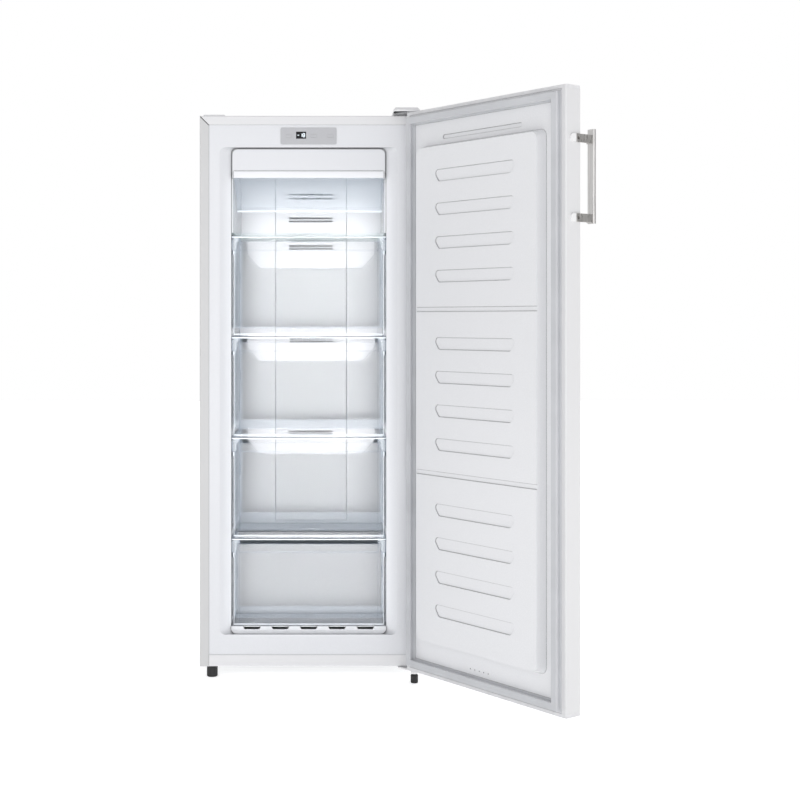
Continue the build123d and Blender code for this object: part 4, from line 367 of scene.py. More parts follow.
def raise_surface(tree, shader, value, height, strength=1.0, edge=0.0):
    """Bumps of that height from the value, over edges softened by a small radius."""
    bump = tree.nodes.new("ShaderNodeBump")
    bump.inputs["Strength"].default_value = strength
    bump.inputs["Distance"].default_value = height
    tree.links.new(value, bump.inputs["Height"])
    if edge > 0.0:
        bevel = tree.nodes.new("ShaderNodeBevel")
        bevel.samples = 4
        bevel.inputs["Radius"].default_value = edge
        tree.links.new(bevel.outputs["Normal"], bump.inputs["Normal"])
    tree.links.new(bump.outputs["Normal"], shader.inputs["Normal"])


def satin_paint(name, colour, edge):
    """Stoved paint on sheet steel, with its faint orange peel."""
    material, tree, shader = start_material(name, roughness=0.38, coat=0.25)
    spread_colour(tree, shader, noise_field(tree, 1500.0, 1.0), colour, 0.012)
    spread_gloss(tree, shader, noise_field(tree, 900.0, 1.0), 0.36, 0.42)
    raise_surface(tree, shader, noise_field(tree, 700.0, 1.0), 0.00001, 0.2, edge)
    return material


def paint_groove_shade(tree, shader, reach, dark, within=None):
    """Painted shade: darkens the colour in narrow gaps and at the feet of steps, as far out as the
    reach.
    """
    shade = tree.nodes.new("ShaderNodeAmbientOcclusion")
    shade.samples = 6
    shade.inputs["Distance"].default_value = reach
    tree.links.new(shader.inputs["Base Color"].links[0].from_socket, shade.inputs["Color"])
    deepened = tree.nodes.new("ShaderNodeMix")
    deepened.data_type, deepened.blend_type = "RGBA", "MULTIPLY"
    deepened.inputs["Factor"].default_value = dark
    if within:
        tree.links.new(scaled(tree, slab_mask(tree, *within), 0.0, dark), deepened.inputs["Factor"])
    tree.links.new(shade.outputs["Color"], deepened.inputs[6])
    tree.links.new(scaled(tree, shade.outputs["AO"], 0.0, 1.0), deepened.inputs[7])
    tree.links.new(deepened.outputs[2], shader.inputs["Base Color"])


def glossy_moulding(name, colour, edge, smooth=0.20, rough=0.30):
    """Smooth moulded plastic with the faint texture of its mould."""
    material, tree, shader = start_material(name, coat=0.1)
    spread_colour(tree, shader, noise_field(tree, 1500.0, 1.0), colour, 0.012)
    spread_gloss(tree, shader, noise_field(tree, 900.0, 1.0), smooth, rough)
    raise_surface(tree, shader, noise_field(tree, 260.0, 1.0), 0.00001, 0.2, edge)
    return material


def grained_moulding(name, colour, edge, spread=0.05):
    """Matt moulded plastic with a fine spark-eroded grain."""
    material, tree, shader = start_material(name)
    spread_colour(tree, shader, noise_field(tree, 60.0), colour, spread)
    spread_gloss(tree, shader, noise_field(tree, 25.0), 0.45, 0.62)
    raise_surface(tree, shader, noise_field(tree, 1600.0, 2.0), 0.00006, 0.5, edge)
    return material


def slab_mask(tree, axis, start, end):
    """1 where the piece lies between two places along an axis, and 0 elsewhere."""
    parts = tree.nodes.new("ShaderNodeSeparateXYZ")
    tree.links.new(place_on_object(tree), parts.inputs["Vector"])
    compare = tree.nodes.new("ShaderNodeMath")
    compare.operation = "COMPARE"
    tree.links.new(parts.outputs[axis], compare.inputs[0])
    compare.inputs[1].default_value = (start + end) / 2
    compare.inputs[2].default_value = (end - start) / 2
    return compare.outputs["Value"]


def combine(tree, operation, first, *others):
    """Values put together by one sum after another."""
    for other in others:
        node = tree.nodes.new("ShaderNodeMath")
        node.operation = operation
        tree.links.new(first, node.inputs[0])
        tree.links.new(other, node.inputs[1])
        first = node.outputs["Value"]
    return first


def scaled(tree, value, start, end):
    """A value from 0 to 1, run from start to end."""
    span = tree.nodes.new("ShaderNodeMapRange")
    span.inputs["To Min"].default_value = start
    span.inputs["To Max"].default_value = end
    tree.links.new(value, span.inputs["Value"])
    return span.outputs["Result"]


def corner_mask(tree, width):
    """1 at a piece's corners, and 0 from that width inwards."""
    bevel = tree.nodes.new("ShaderNodeBevel")
    bevel.samples = 4
    bevel.inputs["Radius"].default_value = width
    flat = tree.nodes.new("ShaderNodeNewGeometry")
    turn = tree.nodes.new("ShaderNodeVectorMath")
    turn.operation = "DOT_PRODUCT"
    tree.links.new(bevel.outputs["Normal"], turn.inputs[0])
    tree.links.new(flat.outputs["Normal"], turn.inputs[1])
    span = tree.nodes.new("ShaderNodeMapRange")
    span.inputs["From Min"].default_value = 0.98
    span.inputs["From Max"].default_value = 0.85
    tree.links.new(turn.outputs["Value"], span.inputs["Value"])
    return span.outputs["Result"]


def clear_moulding(name, colour, alpha, smooth, rough, lit=(), dark=(), edge=(0.8, 0.8, 0.8)):
    """See-through plastic or glass, denser where it is seen along its surface.

    The lit and dark places are tuples of slabs, (axis, start, end), that together hold a
    rim with a painted highlight where such plastic gathers light, or with painted shade
    where the dark gap beside it shows. Corners get painted shade, and the plastic gives
    off a painted glow."""
    details = bpy.context.scene.freezer_details
    material, tree, shader = start_material(name)
    shader.inputs["IOR"].default_value = 1.5
    shader.inputs["Emission Strength"].default_value = PAINTED_CLEAR_GLOW
    spread_colour(tree, shader, noise_field(tree, 900.0, 1.0), colour, 0.02)
    spread_gloss(tree, shader, noise_field(tree, 160.0, 1.0), smooth, rough)
    raise_surface(tree, shader, noise_field(tree, 30.0, 1.0), 0.00002, 0.2)
    facing = tree.nodes.new("ShaderNodeLayerWeight")
    facing.inputs["Blend"].default_value = 0.5
    power = tree.nodes.new("ShaderNodeMath")
    power.operation = "POWER"
    power.inputs[1].default_value = 3.0
    tree.links.new(facing.outputs["Facing"], power.inputs[0])
    cover = scaled(tree, power.outputs["Value"], *alpha)
    # Painted shade along the corners, then painted highlights on lit rims and painted shade in dark
    # gaps.
    marks = [(corner_mask(tree, details.corner_line), *PAINTED_CORNER_SHADE)]
    for places, shade, strength in ((lit, edge, PAINTED_RIM_HIGHLIGHT), (dark, *PAINTED_GAP_SHADE)):
        for slabs in places:
            masks = [slab_mask(tree, *slab) for slab in slabs]
            marks.append((combine(tree, "MULTIPLY", *masks), shade, strength))
    for mask, shade, strength in marks:
        tint = tree.nodes.new("ShaderNodeMix")
        tint.data_type = "RGBA"
        tree.links.new(mask, tint.inputs["Factor"])
        tree.links.new(shader.inputs["Base Color"].links[0].from_socket, tint.inputs[6])
        tint.inputs[7].default_value = (*shade, 1.0)
        tree.links.new(tint.outputs[2], shader.inputs["Base Color"])
        cover = combine(tree, "MAXIMUM", cover, scaled(tree, mask, 0.0, strength))
    tree.links.new(cover, shader.inputs["Alpha"])
    # Painted glow in the surface's own colour.
    shown = shader.inputs["Base Color"].links[0].from_socket
    tree.links.new(shown, shader.inputs["Emission Color"])
    return material


def soft_rubber(name, colour, edge):
    """Extruded soft seal: matt, with fine lines along its length."""
    material, tree, shader = start_material(name)
    shader.inputs["Sheen Weight"].default_value = 0.15
    spread_colour(tree, shader, noise_field(tree, 12.0), colour, 0.04)
    spread_gloss(tree, shader, noise_field(tree, 40.0), 0.50, 0.66)
    raise_surface(tree, shader, noise_field(tree, 900.0, 2.0), 0.00005, 0.4, edge)
    return material


def brushed_metal(name, colour, edge, stretch=(900.0, 900.0, 9.0), spread=0.16):
    """Metal with a satin grain along one axis."""
    material, tree, shader = start_material(name, metallic=1.0)
    shader.inputs["Anisotropic"].default_value = 0.35
    grain = noise_field(tree, 1.0, 3.0, stretch)
    spread_colour(tree, shader, grain, colour, spread, 0.3, 0.7)
    spread_gloss(tree, shader, noise_field(tree, 1.0, 2.0, stretch), 0.24, 0.38)
    raise_surface(tree, shader, grain, 0.00002, 0.4, edge)
    return material


def zinc_sheet(name, colour):
    """Zinc-coated steel with the crystal pattern that it sets in."""
    material, tree, shader = start_material(name, metallic=0.85)
    crystals = tree.nodes.new("ShaderNodeTexVoronoi")
    crystals.inputs["Scale"].default_value = 85.0
    tree.links.new(place_on_object(tree), crystals.inputs["Vector"])
    shade = tree.nodes.new("ShaderNodeSeparateColor")
    tree.links.new(crystals.outputs["Color"], shade.inputs["Color"])
    spread_colour(tree, shader, shade.outputs["Red"], colour, 0.09, 0.0, 1.0)
    spread_gloss(tree, shader, shade.outputs["Green"], 0.38, 0.52)
    raise_surface(tree, shader, noise_field(tree, 200.0), 0.00003, 0.3)
    return material


def open_foam(name, colour):
    """Blown foam: small cells, a little darker in places."""
    material, tree, shader = start_material(name, roughness=0.85)
    cells = tree.nodes.new("ShaderNodeTexVoronoi")
    cells.inputs["Scale"].default_value = 420.0
    tree.links.new(place_on_object(tree), cells.inputs["Vector"])
    spread_colour(tree, shader, noise_field(tree, 25.0), colour, 0.10)
    raise_surface(tree, shader, cells.outputs["Distance"], 0.0005, 0.8)
    return material


def lit_figures(name, colour):
    """Light that comes through a figure, a little uneven along its strokes."""
    material, tree, shader = start_material(name, roughness=0.3)
    spread_colour(tree, shader, noise_field(tree, 900.0), colour, 0.05)
    shader.inputs["Emission Color"].default_value = (*colour, 1.0)
    shader.inputs["Emission Strength"].default_value = 0.9
    return material


def blend_ramp(tree, value, start, end, ends):
    """A colour that runs between two ends while a value runs from start to end."""
    span = tree.nodes.new("ShaderNodeMapRange")
    span.inputs["From Min"].default_value = start
    span.inputs["From Max"].default_value = end
    ramp = tree.nodes.new("ShaderNodeValToRGB")
    for element, colour in zip(ramp.color_ramp.elements, ends):
        element.color = colour
    tree.links.new(value, span.inputs["Value"])
    tree.links.new(span.outputs["Result"], ramp.inputs["Fac"])
    return ramp.outputs["Color"]


def finish_node(material, *names):
    """Gives CAD nodes this one material."""
    for name in names:
        slots = NODES[name].data.materials
        slots.clear()
        slots.append(material)


# ---------------------------------------------------------------- mesh code
def make_piece(name, mesh, material, body, replaced=()):
    """A shown object from a bmesh, which rides on a body and may stand for CAD nodes."""
    data = bpy.data.meshes.new(name)
    mesh.to_mesh(data)
    mesh.free()
    data.materials.append(material)
    piece = bpy.data.objects.new(name, data)
    bpy.context.scene.collection.objects.link(piece)
    if replaced:
        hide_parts(*replaced)
    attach(piece, body)
    return piece


def thicken(mesh, outline, offset):
    """A closed prism from an outline of points and an offset."""
    near = [mesh.verts.new(point) for point in outline]
    far = [mesh.verts.new(point + offset) for point in outline]
    mesh.faces.new(near)
    mesh.faces.new(reversed(far))
    count = len(outline)
    for index in range(count):
        following = (index + 1) % count
        mesh.faces.new((near[index], far[index], far[following], near[following]))


def turn_profile(mesh, centre, axis, profile, sides, flute=0.0):
    """A closed turned form; the profile lists (along axis, radius) from end to end."""
    axis = axis.normalized()
    across = axis.orthogonal().normalized()
    up = axis.cross(across)
    rings = []
    for along, radius in profile:
        ring = []
        for index in range(sides):
            angle = 2 * pi * index / sides
            reach = radius * (1 - flute * (index % 2))
            spoke = across * cos(angle) + up * sin(angle)
            ring.append(mesh.verts.new(centre + axis * along + spoke * reach))
        rings.append(ring)
    mesh.faces.new(reversed(rings[0]))
    mesh.faces.new(rings[-1])
    for lower, upper in zip(rings, rings[1:]):
        for index in range(sides):
            following = (index + 1) % sides
            mesh.faces.new((lower[index], lower[following], upper[following], upper[index]))


def door_points(node):
    """A door piece's vertices as (towards the hinge edge, inward, up) from the pivot."""
    offsets = [vertex.co - PIVOT for vertex in NODES[node].data.vertices]
    return [(point.dot(TO_HINGE), point.dot(INWARD), point.z) for point in offsets]


def sweep_seal(mesh, node, width):
    """The seal's section run round the door's inner face, with mitred corners."""
    spans = [(min(values), max(values)) for values in zip(*door_points(node))]
    (left, right), (base, face), (foot, top) = spans
    section = SEAL_HALF + tuple((1 - across, up) for across, up in reversed(SEAL_HALF[:-1]))
    loops = []
    for across, up in section:
        inset = across * width
        place = PIVOT + INWARD * (base + (face - base) * up)
        loops.append(
            [
                mesh.verts.new(place + TO_HINGE * along + Vector((0, 0, height)))
                for along, height in (
                    (left + inset, foot + inset),
                    (right - inset, foot + inset),
                    (right - inset, top - inset),
                    (left + inset, top - inset),
                )
            ]
        )
    for outer, inner in zip(loops, loops[1:] + loops[:1]):
        for index in range(4):
            following = (index + 1) % 4
            mesh.faces.new((outer[index], outer[following], inner[following], inner[index]))
    bmesh.ops.recalc_face_normals(mesh, faces=mesh.faces)


def soften(piece, sharp=40.0):
    """Smooth shading, broken at edges sharper than that many degrees."""
    piece.data.shade_smooth()
    piece.data.set_sharp_from_angle(angle=radians(sharp))


def stroke_outline(centre, length, width, upright):
    """Six corners of one display stroke, pointed at both ends, facing -Y."""
    half, rise = length / 2, width / 2
    corners = (
        (-half, 0),
        (-half + rise, -rise),
        (half - rise, -rise),
        (half, 0),
        (half - rise, rise),
        (-half + rise, rise),
    )
    if upright:
        corners = tuple((-z, x) for x, z in corners)
    return [centre + Vector((x, 0, z)) for x, z in corners]


def headed_screw(mesh, seat, axis, head, height, shank, length, recess):
    """A pan-head screw whose cross recess is a flat mark on its top, in painted shadow."""
    profile = (
        (-length, shank * 0.5),
        (-length + shank, shank),
        (0.0, shank),
        (0.0, head * 0.94),
        (height * 0.15, head),
        (height * 0.45, head),
        (height * 0.80, head * 0.82),
        (height, head * 0.50),
    )
    turn_profile(mesh, seat, axis, profile, 32)
    axis = axis.normalized()
    across = axis.orthogonal().normalized()
    arm, half = recess[0] / 2, recess[1] / 2
    sides = (across, axis.cross(across))
    top = seat + axis * (height + 0.00002)
    for along, beside in (sides, sides[::-1]):
        outline = [
            top + along * (arm * a) + beside * (half * b)
            for a, b in RECESS_ARM
        ]
        slot = [mesh.verts.new(point) for point in outline]
        face = mesh.faces.new(slot)
        # The recess is a flat face in the second material, a painted shadow.
        face.material_index = 1


def screws_of(node):
    """(lowest corner, highest corner) of each separate screw in a CAD node."""
    mesh = bmesh.new()
    mesh.from_mesh(NODES[node].data)
    bmesh.ops.remove_doubles(mesh, verts=mesh.verts, dist=0.00001)
    left = set(mesh.verts)
    boxes = []
    while left:
        group, edge = set(), [left.pop()]
        while edge:
            vertex = edge.pop()
            group.add(vertex)
            for link in vertex.link_edges:
                other = link.other_vert(vertex)
                if other in left:
                    left.remove(other)
                    edge.append(other)
        points = [vertex.co for vertex in group]
        boxes.append(
            tuple(
                Vector(pick(point[axis] for point in points) for axis in range(3))
                for pick in (min, max)
            )
        )
    mesh.free()
    return boxes


# ---------------------------------------------------------------- operators
class FREEZER_OT_paint_steel(bpy.types.Operator):
    """Paint the outer sheets and coat the bare ones"""

    bl_idname = "freezer.paint_steel"
    bl_label = "Steel sheets"

    def execute(self, context):
        colours, details = context.scene.freezer_colours, context.scene.freezer_details
        paint = satin_paint("satin_white_paint", colours.paint, details.edge_round)
        finish_node(paint, "top_panel", "base_crossbar")
        skin = satin_paint("satin_door_paint", colours.door_paint, details.edge_round)
        finish_node(skin, "door_skin")
        sides = satin_paint("satin_side_paint", colours.sides, details.edge_round)
        finish_node(sides, "side_panels")
        # Painted shadow: a black strip in each upper corner's mitre stands in for the shade in the
        # joint.
        low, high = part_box("side_panels")
        strip = soft_rubber("black_joint_shadow", colours.black, 0.0)
        mesh = bmesh.new()
        for edge, way in ((low.x, 1), (high.x, -1)):
            outer = Vector((edge + way * details.mitre, low.y - 0.2 * MM, high.z - details.mitre))
            inner = outer + Vector((way, 0, -1)) * (details.flange - details.mitre)
            side = Vector((way, 0, 1)) * (details.mitre / 2 / 2**0.5)
            outline = (outer + side, inner + side, inner - side, outer - side)
            thicken(mesh, outline, Vector((0, 0.6 * MM, 0)))
        bmesh.ops.recalc_face_normals(mesh, faces=mesh.faces)
        make_piece("flange_joint_shadow_strips", mesh, strip, "cabinet")
        zinc = zinc_sheet("zinc_coated_sheet", colours.zinc)
        finish_node(zinc, "back_panel", "partition", "compressor_tray", "roller_brackets")
        return {"FINISHED"}


class FREEZER_OT_mould_liner(bpy.types.Operator):
    """Finish the white tub, the door liner, the covers and the foam behind them"""

    bl_idname = "freezer.mould_liner"
    bl_label = "Liner and covers"

    def execute(self, context):
        colours, details = context.scene.freezer_colours, context.scene.freezer_details
        liner = glossy_moulding("white_liner_moulding", colours.liner, details.edge_round)
        finish_node(liner, "duct_cover")
        tub = glossy_moulding("white_tub_moulding", colours.liner, details.edge_round)
        tree = tub.node_tree
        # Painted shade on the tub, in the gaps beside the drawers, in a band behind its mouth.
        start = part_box("drawer_2")[0].y - details.groove_reach
        beside = ("Y", start, start + details.gap_depth * SHADED_DEPTH)
        reach = details.gap_depth * SHADED_REACH
        paint_groove_shade(tree, tree.nodes["Principled BSDF"], reach, TUB_GROOVE_SHADE, beside)
        finish_node(tub, "liner", "sill_grille")
        cover = glossy_moulding("white_cover_moulding", colours.liner, details.edge_round)
        # Painted shade in the grooves of the covers.
        tree = cover.node_tree
        reach = details.groove_reach * COVER_REACH
        paint_groove_shade(tree, tree.nodes["Principled BSDF"], reach, COVER_GROOVE_SHADE)
        finish_node(cover, "header_panel", "flap_cheeks")
        panel = glossy_moulding("white_door_moulding", colours.door_liner, details.edge_round)
        # Painted shade in the grooves of the door's liner.
        tree = panel.node_tree
        paint_groove_shade(tree, tree.nodes["Principled BSDF"], details.groove_reach, DOOR_GROOVE_SHADE)
        finish_node(panel, "door_liner")
        foam = open_foam("rigid_foam", colours.foam)
        finish_node(foam, "insulation", "door_insulation")
        return {"FINISHED"}


class FREEZER_OT_mould_drawers(bpy.types.Operator):
    """Finish the clear drawers, the tilting flap and the glass shelf"""

    bl_idname = "freezer.mould_drawers"
    bl_label = "Drawers and shelf"

    def execute(self, context):
        colours, details = context.scene.freezer_colours, context.scene.freezer_details
        band, line = details.edge_band, details.gap_line
        # The runner blocks, like all clear plastic here, get the painted glow and painted corner
        # shade.
        blocks = clear_moulding("clear_runner_moulding", colours.edges, BLOCK_COVER, 0.10, 0.22)
        for name in ("drawer_1", "drawer_2", "drawer_3", "drawer_4"):
            low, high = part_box(name)
            front = ("Y", low.y - band, low.y + band)
            corner = ("Y", low.y - band, low.y + details.gap_depth)
            upright = ("Z", low.z, high.z - details.block_height)
            # Painted highlights along the front's lower and upper rims and down both sides.
            lit = (
                (front, ("Z", low.z, low.z + band)),
                (front, ("Z", high.z - line - band, high.z - line)),
                (corner, upright, ("X", low.x + line * 2, low.x + line * 2 + band)),
                (corner, upright, ("X", high.x - line * 2 - band, high.x - line * 2)),
            )
            # Painted shade: dark lines along the top and down both sides of a drawer, where the gap
            # beside it is in shadow.
            dark = (
                (front, ("Z", high.z - line, high.z + line)),
                (corner, upright, ("X", low.x - line, low.x + line * 2)),
                (corner, upright, ("X", high.x - line * 2, high.x + line)),
            )
            clear = clear_moulding(
                f"clear_{name}_moulding",
                colours.clear,
                DRAWER_COVER,
                0.08,
                0.20,
                lit,
                dark,
                colours.edges,
            )
            finish_node(clear, name)
            mesh = bmesh.new()
            for edge, way in ((low.x, 1), (high.x, -1)):
                upper = Vector((edge + way * line / 2, low.y + band * 1.2, high.z - line))
                outline = [
                    upper + Vector((way * across * MM, 0, -down * MM))
                    for across, down in BLOCK_OUTLINE
                ]
                thicken(mesh, outline[::way], Vector((0, details.block_depth, 0)))
            bmesh.ops.recalc_face_normals(mesh, faces=mesh.faces)
            bmesh.ops.bevel(mesh, geom=mesh.edges[:], offset=0.6 * MM, segments=2, affect="EDGES")
            block = make_piece(f"{name}_runner_blocks", mesh, blocks, name)
            soften(block)
        low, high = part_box("flap")
        # Painted highlight along the flap's lower rim.
        lit = ((("Z", low.z, low.z + band * 1.5),),)
        flap = clear_moulding(
            "clear_flap_moulding", colours.clear, FLAP_COVER, 0.08, 0.20, lit, (), colours.edges
        )
        finish_node(flap, "flap")
        # The shelf glass gets the painted glow and painted corner shade too.
        glass = clear_moulding("toughened_shelf_glass", colours.glass, GLASS_COVER, 0.02, 0.06)
        finish_node(glass, "glass_shelf")
        return {"FINISHED"}


class FREEZER_OT_trim_door(bpy.types.Operator):
    """Finish the door's seal and end caps"""

    bl_idname = "freezer.trim_door"
    bl_label = "Door trim"

    def execute(self, context):
        colours, details = context.scene.freezer_colours, context.scene.freezer_details
        seal = soft_rubber("soft_grey_seal", colours.gasket, 0.0)
        finish_node(seal, "door_gasket")
        mesh = bmesh.new()
        sweep_seal(mesh, "door_gasket", details.seal_width)
        hidden = ("door_gasket",)
        soften(make_piece("folded_door_seal", mesh, seal, "door", hidden))
        caps = grained_moulding("grey_end_caps", colours.caps, details.edge_round)
        finish_node(caps, "door_top_cap", "door_bottom_cap")
        return {"FINISHED"}


class FREEZER_OT_fit_handle(bpy.types.Operator):
    """Finish the bar handle and its screws"""

    bl_idname = "freezer.fit_handle"
    bl_label = "Bar handle"

    def execute(self, context):
        colours, details = context.scene.freezer_colours, context.scene.freezer_details
        bar = brushed_metal("satin_handle_bar", colours.handle, details.edge_round)
        finish_node(bar, "handle_bar")
        posts = brushed_metal(
            "satin_handle_posts", colours.posts, details.edge_round, (400.0, 400.0, 60.0), 0.10
        )
        finish_node(posts, "handle_posts")
        blocks = glossy_moulding("white_handle_blocks", colours.blocks, details.edge_round)
        finish_node(blocks, "handle_blocks")
        screws = brushed_metal("dark_plated_screws", colours.screws, 0.0, (300.0, 300.0, 300.0))
        finish_node(screws, "handle_screws")
        return {"FINISHED"}


class FREEZER_OT_build_controls(bpy.types.Operator):
    """Finish the control panel and light its display"""

    bl_idname = "freezer.build_controls"
    bl_label = "Controls"

    def execute(self, context):
        colours, details = context.scene.freezer_colours, context.scene.freezer_details
        panel = glossy_moulding("pale_panel_moulding", colours.panel, details.edge_round / 2)
        finish_node(panel, "control_panel", "button_fast", "button_alarm", "button_set")
        window, tree, shader = start_material("smoked_display_window", roughness=0.22, coat=0.1)
        shader.inputs["Specular IOR Level"].default_value = 0.25
        spread_colour(tree, shader, noise_field(tree, 40.0), colours.display, 0.15)
        raise_surface(tree, shader, noise_field(tree, 90.0, 1.0), 0.00003, 0.3)
        finish_node(window, "display_window")

        unknown = sorted(set(details.reading) - set(FIGURES))
        if unknown:
            raise ValueError(f"the display has no figure for {unknown}")
        low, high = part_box("display_window")
        middle = Vector(((low.x + high.x) / 2, low.y, (low.z + high.z) / 2))
        first = -details.figure_pitch * (len(details.reading) - 1) / 2
        proud = Vector((0, -details.stroke_raise, 0))
        reach = details.figure_width / 2, (details.figure_height - details.stroke) / 2
        mesh = bmesh.new()
        for place, figure in enumerate(details.reading):
            centre = middle + Vector((first + place * details.figure_pitch, 0, 0))
            for stroke in FIGURES[figure]:
                across, up, upright = STROKES[stroke]
                length = (reach[1] if upright else reach[0] * 2) - details.stroke * 0.2
                spot = centre + Vector((across * reach[0], 0, up * reach[1]))
                thicken(mesh, stroke_outline(spot, length, details.stroke, upright), proud)
        light = lit_figures("lit_display_figures", colours.figures)
        make_piece("display_figures", mesh, light, "cabinet")
        return {"FINISHED"}


class FREEZER_OT_fit_hinges(bpy.types.Operator):
    """Finish hinges, covers and feet, and fit screws and the lock nut"""

    bl_idname = "freezer.fit_hinges"
    bl_label = "Hinges and feet"

    def execute(self, context):
        colours, details = context.scene.freezer_colours, context.scene.freezer_details
        plate = brushed_metal(
            "plated_hinge_plates", colours.hinge, details.edge_round, (60.0, 60.0, 60.0), 0.06
        )
        finish_node(plate, "top_hinge_plate", "lower_hinge")
        cover = glossy_moulding("white_hinge_cover", colours.paint, details.edge_round)
        finish_node(cover, "top_hinge_cover", "hinge_hole_cover")
        black = grained_moulding("black_foot_moulding", colours.black, details.edge_round, 0.2)
        finish_node(black, "foot_left", "foot_right", "roller_left", "roller_right")
        bushes = grained_moulding("grey_bush_moulding", colours.grey, details.edge_round)
        finish_node(bushes, "door_bushes")
        metal = brushed_metal("plated_hinge_screws", colours.screws, 0.0, (300.0, 300.0, 300.0))
        # Painted shadow for the screws' flat cross recesses.
        recess = grained_moulding("recess_shadow", colours.black, 0.0)
        for node, way in (("top_hinge_screws", 1), ("lower_hinge_screws", -1)):
            mesh = bmesh.new()
            for low, high in screws_of(node):
                centre = (low + high) / 2
                head = (high.x - low.x) / 2
                tall = high.z - low.z
                seat = Vector((centre.x, centre.y, high.z if way > 0 else low.z))
                seat.z -= way * head * 0.6
                headed_screw(
                    mesh,
                    seat,
                    Vector((0, 0, way)),
                    head,
                    head * 0.6,
                    head / 2,
                    tall - head * 0.6,
                    (details.recess_length, details.recess_width),
                )
            piece = make_piece(f"{node}_pan_head", mesh, metal, "cabinet", (node,))
            piece.data.materials.append(recess)
        mesh = bmesh.new()
        seat = Vector((PIVOT.x, PIVOT.y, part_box("lower_hinge")[0].z + 0.2 * MM))
        corner, rim = details.nut_across / 2 / cos(pi / 6), details.nut_height
        chamfer = rim * 0.12
        worn = corner * 0.93
        profile = ((0, worn), (chamfer, corner), (rim - chamfer, corner), (rim, worn))
        turn_profile(mesh, seat, Vector((0, 0, 1)), profile, 6)
        nut = glossy_moulding("white_lock_nut", colours.blocks, 0.0)
        make_piece("hinge_lock_nut", mesh, nut, "cabinet")
        return {"FINISHED"}


class FREEZER_OT_fit_machinery(bpy.types.Operator):
    """Finish the cooling parts, the fan and the machine space at the back"""

    bl_idname = "freezer.fit_machinery"
    bl_label = "Cooling parts"

    def execute(self, context):
        colours, details = context.scene.freezer_colours, context.scene.freezer_details
        edge = details.edge_round
        finish_node(
            brushed_metal("bare_fin_aluminium", colours.fins, 0.0, (500.0, 20.0, 20.0), 0.06),
            "evaporator",
        )
        finish_node(
            brushed_metal("dull_heater_tube", colours.hinge, 0.0, (40.0, 40.0, 40.0), 0.12),
            "defrost_heater",
        )
        finish_node(
            brushed_metal("bare_copper", colours.copper, 0.0, (35.0, 35.0, 35.0), 0.20),
            "refrigerant_pipes",
            "filter_drier",
        )
        finish_node(
            grained_moulding("grey_inner_moulding", colours.grey, edge),
            "drip_trough",
            "fan_blade",
            "evaporating_pan",
        )
        finish_node(
            grained_moulding("dark_motor_moulding", colours.black, edge, 0.2),
            "fan_motor",
            "terminal_box",
            "mains_inlet",
        )
        finish_node(satin_paint("black_shell_paint", colours.black, edge), "compressor")
        finish_node(soft_rubber("black_grommets", colours.black, edge), "compressor_grommets")
        finish_node(glossy_moulding("green_board_lacquer", colours.board, 0.0), "control_board")
        return {"FINISHED"}


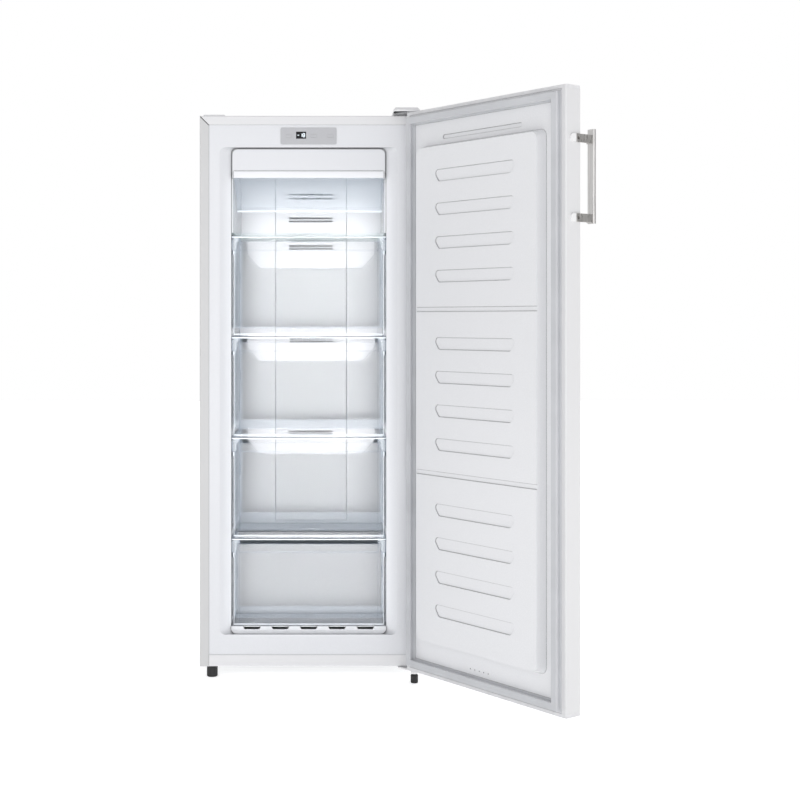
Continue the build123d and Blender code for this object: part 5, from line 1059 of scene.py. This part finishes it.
class FREEZER_OT_set_stage(bpy.types.Operator):
    """Lay the floor, hang the lights and stand the camera"""

    bl_idname = "freezer.set_stage"
    bl_label = "Stage"

    def execute(self, context):
        studio = context.scene.freezer_studio
        mesh = bmesh.new()
        bmesh.ops.create_grid(mesh, x_segments=8, y_segments=8, size=studio.floor_size / 2)
        data = bpy.data.meshes.new("studio_floor")
        mesh.to_mesh(data)
        mesh.free()
        material, tree, shader = start_material("pale_floor", roughness=0.6)
        shader.inputs["Specular IOR Level"].default_value = 0.1
        shader.inputs["Emission Color"].default_value = (1.0, 1.0, 1.0, 1.0)
        shader.inputs["Emission Strength"].default_value = studio.floor_glow
        spread_colour(tree, shader, noise_field(tree, 1.5), studio.floor, 0.004)
        spread_gloss(tree, shader, noise_field(tree, 6.0), 0.55, 0.70)
        data.materials.append(material)
        floor = bpy.data.objects.new("studio_floor", data)
        context.scene.collection.objects.link(floor)

        world = bpy.data.worlds.new("studio_light")
        world.use_nodes = True
        tree = world.node_tree
        coordinates = tree.nodes.new("ShaderNodeTexCoord")
        parts = tree.nodes.new("ShaderNodeSeparateXYZ")
        tree.links.new(coordinates.outputs["Generated"], parts.inputs["Vector"])
        ends = ((*studio.room, 1.0), (*studio.backdrop, 1.0))
        depth = blend_ramp(tree, parts.outputs["Y"], -0.3, 0.5, ends)
        across = tree.nodes.new("ShaderNodeMath")
        across.operation = "ABSOLUTE"
        tree.links.new(parts.outputs["X"], across.inputs[0])
        ends = ((1.0, 1.0, 1.0, 1.0), (*studio.sides, 1.0))
        sides = blend_ramp(tree, across.outputs["Value"], 0.86, 0.95, ends)
        shaped = tree.nodes.new("ShaderNodeMix")
        shaped.data_type, shaped.blend_type = "RGBA", "MULTIPLY"
        shaped.inputs["Factor"].default_value = 1.0
        tree.links.new(depth, shaped.inputs[6])
        tree.links.new(sides, shaped.inputs[7])
        tree.links.new(shaped.outputs[2], tree.nodes["Background"].inputs["Color"])
        context.scene.world = world

        aim = Vector((0.05, -0.1, 0.75))
        for name, place, size, power in (
            ("key_light", (-2.3, -3.2, 3.0), 2.4, studio.key_power),
            ("fill_light", (3.0, -2.6, 1.6), 2.2, studio.fill_power),
            ("front_light", (0.0, -4.4, 0.9), 2.0, studio.front_power),
        ):
            light = bpy.data.lights.new(name, "AREA")
            light.size = size
            light.energy = power
            lamp = bpy.data.objects.new(name, light)
            lamp.location = place
            lamp.rotation_euler = (aim - lamp.location).to_track_quat("-Z", "Y").to_euler()
            context.scene.collection.objects.link(lamp)

        low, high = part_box("duct_cover")
        low.z, high.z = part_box("sill_grille")[1].z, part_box("header_panel")[0].z
        light = bpy.data.lights.new("inner_light", "AREA")
        light.shape = "RECTANGLE"
        light.size = high.x - low.x
        light.size_y = high.z - low.z
        light.spread = studio.inner_spread
        light.energy = studio.inner_power
        lamp = bpy.data.objects.new("inner_light", light)
        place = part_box("side_panels")[0].y - studio.inner_distance
        lamp.location = ((low.x + high.x) / 2, place, (low.z + high.z) / 2)
        lamp.rotation_euler = (radians(90), 0, 0)
        lamp.visible_glossy = False
        context.scene.collection.objects.link(lamp)

        camera = bpy.data.cameras.new("studio_camera")
        camera.lens = studio.lens
        camera.sensor_width = 36.0
        camera.shift_x = studio.shift_right
        camera.shift_y = studio.shift_up
        viewer = bpy.data.objects.new("studio_camera", camera)
        viewer.location = studio.camera_place
        viewer.rotation_euler = (radians(90), 0, 0)
        context.scene.collection.objects.link(viewer)
        context.scene.camera = viewer
        context.scene.view_settings.view_transform = "Standard"
        return {"FINISHED"}


class FREEZER_PT_sidebar(bpy.types.Panel):
    """Lists the freezer's pieces, colours and stage"""

    bl_idname = "FREEZER_PT_sidebar"
    bl_label = "Upright freezer"
    bl_space_type = "VIEW_3D"
    bl_region_type = "UI"
    bl_category = "Freezer"

    def draw(self, context):
        for operator in OPERATORS:
            self.layout.operator(operator.bl_idname)
        for title, group in (
            ("Colours", context.scene.freezer_colours),
            ("Details", context.scene.freezer_details),
            ("Studio", context.scene.freezer_studio),
        ):
            box = self.layout.box()
            box.label(text=title)
            for name in group.__annotations__:
                box.prop(group, name)


OPERATORS = (
    FREEZER_OT_paint_steel,
    FREEZER_OT_mould_liner,
    FREEZER_OT_mould_drawers,
    FREEZER_OT_trim_door,
    FREEZER_OT_fit_handle,
    FREEZER_OT_build_controls,
    FREEZER_OT_fit_hinges,
    FREEZER_OT_fit_machinery,
    FREEZER_OT_set_stage,
)
CLASSES = (FreezerColours, FreezerDetails, FreezerStudio, *OPERATORS, FREEZER_PT_sidebar)


def register():
    """Adds the classes and the settings that a scene keeps."""
    for kind in CLASSES:
        bpy.utils.register_class(kind)
    bpy.types.Scene.freezer_colours = PointerProperty(type=FreezerColours)
    bpy.types.Scene.freezer_details = PointerProperty(type=FreezerDetails)
    bpy.types.Scene.freezer_studio = PointerProperty(type=FreezerStudio)


def unregister():
    """Takes them away again."""
    del bpy.types.Scene.freezer_studio
    del bpy.types.Scene.freezer_details
    del bpy.types.Scene.freezer_colours
    for kind in reversed(CLASSES):
        bpy.utils.unregister_class(kind)


def main():
    """Builds everything in order."""
    register()
    for operator in OPERATORS:
        family, action = operator.bl_idname.split(".")
        getattr(getattr(bpy.ops, family), action)()


if __name__ == "__main__":
    main()
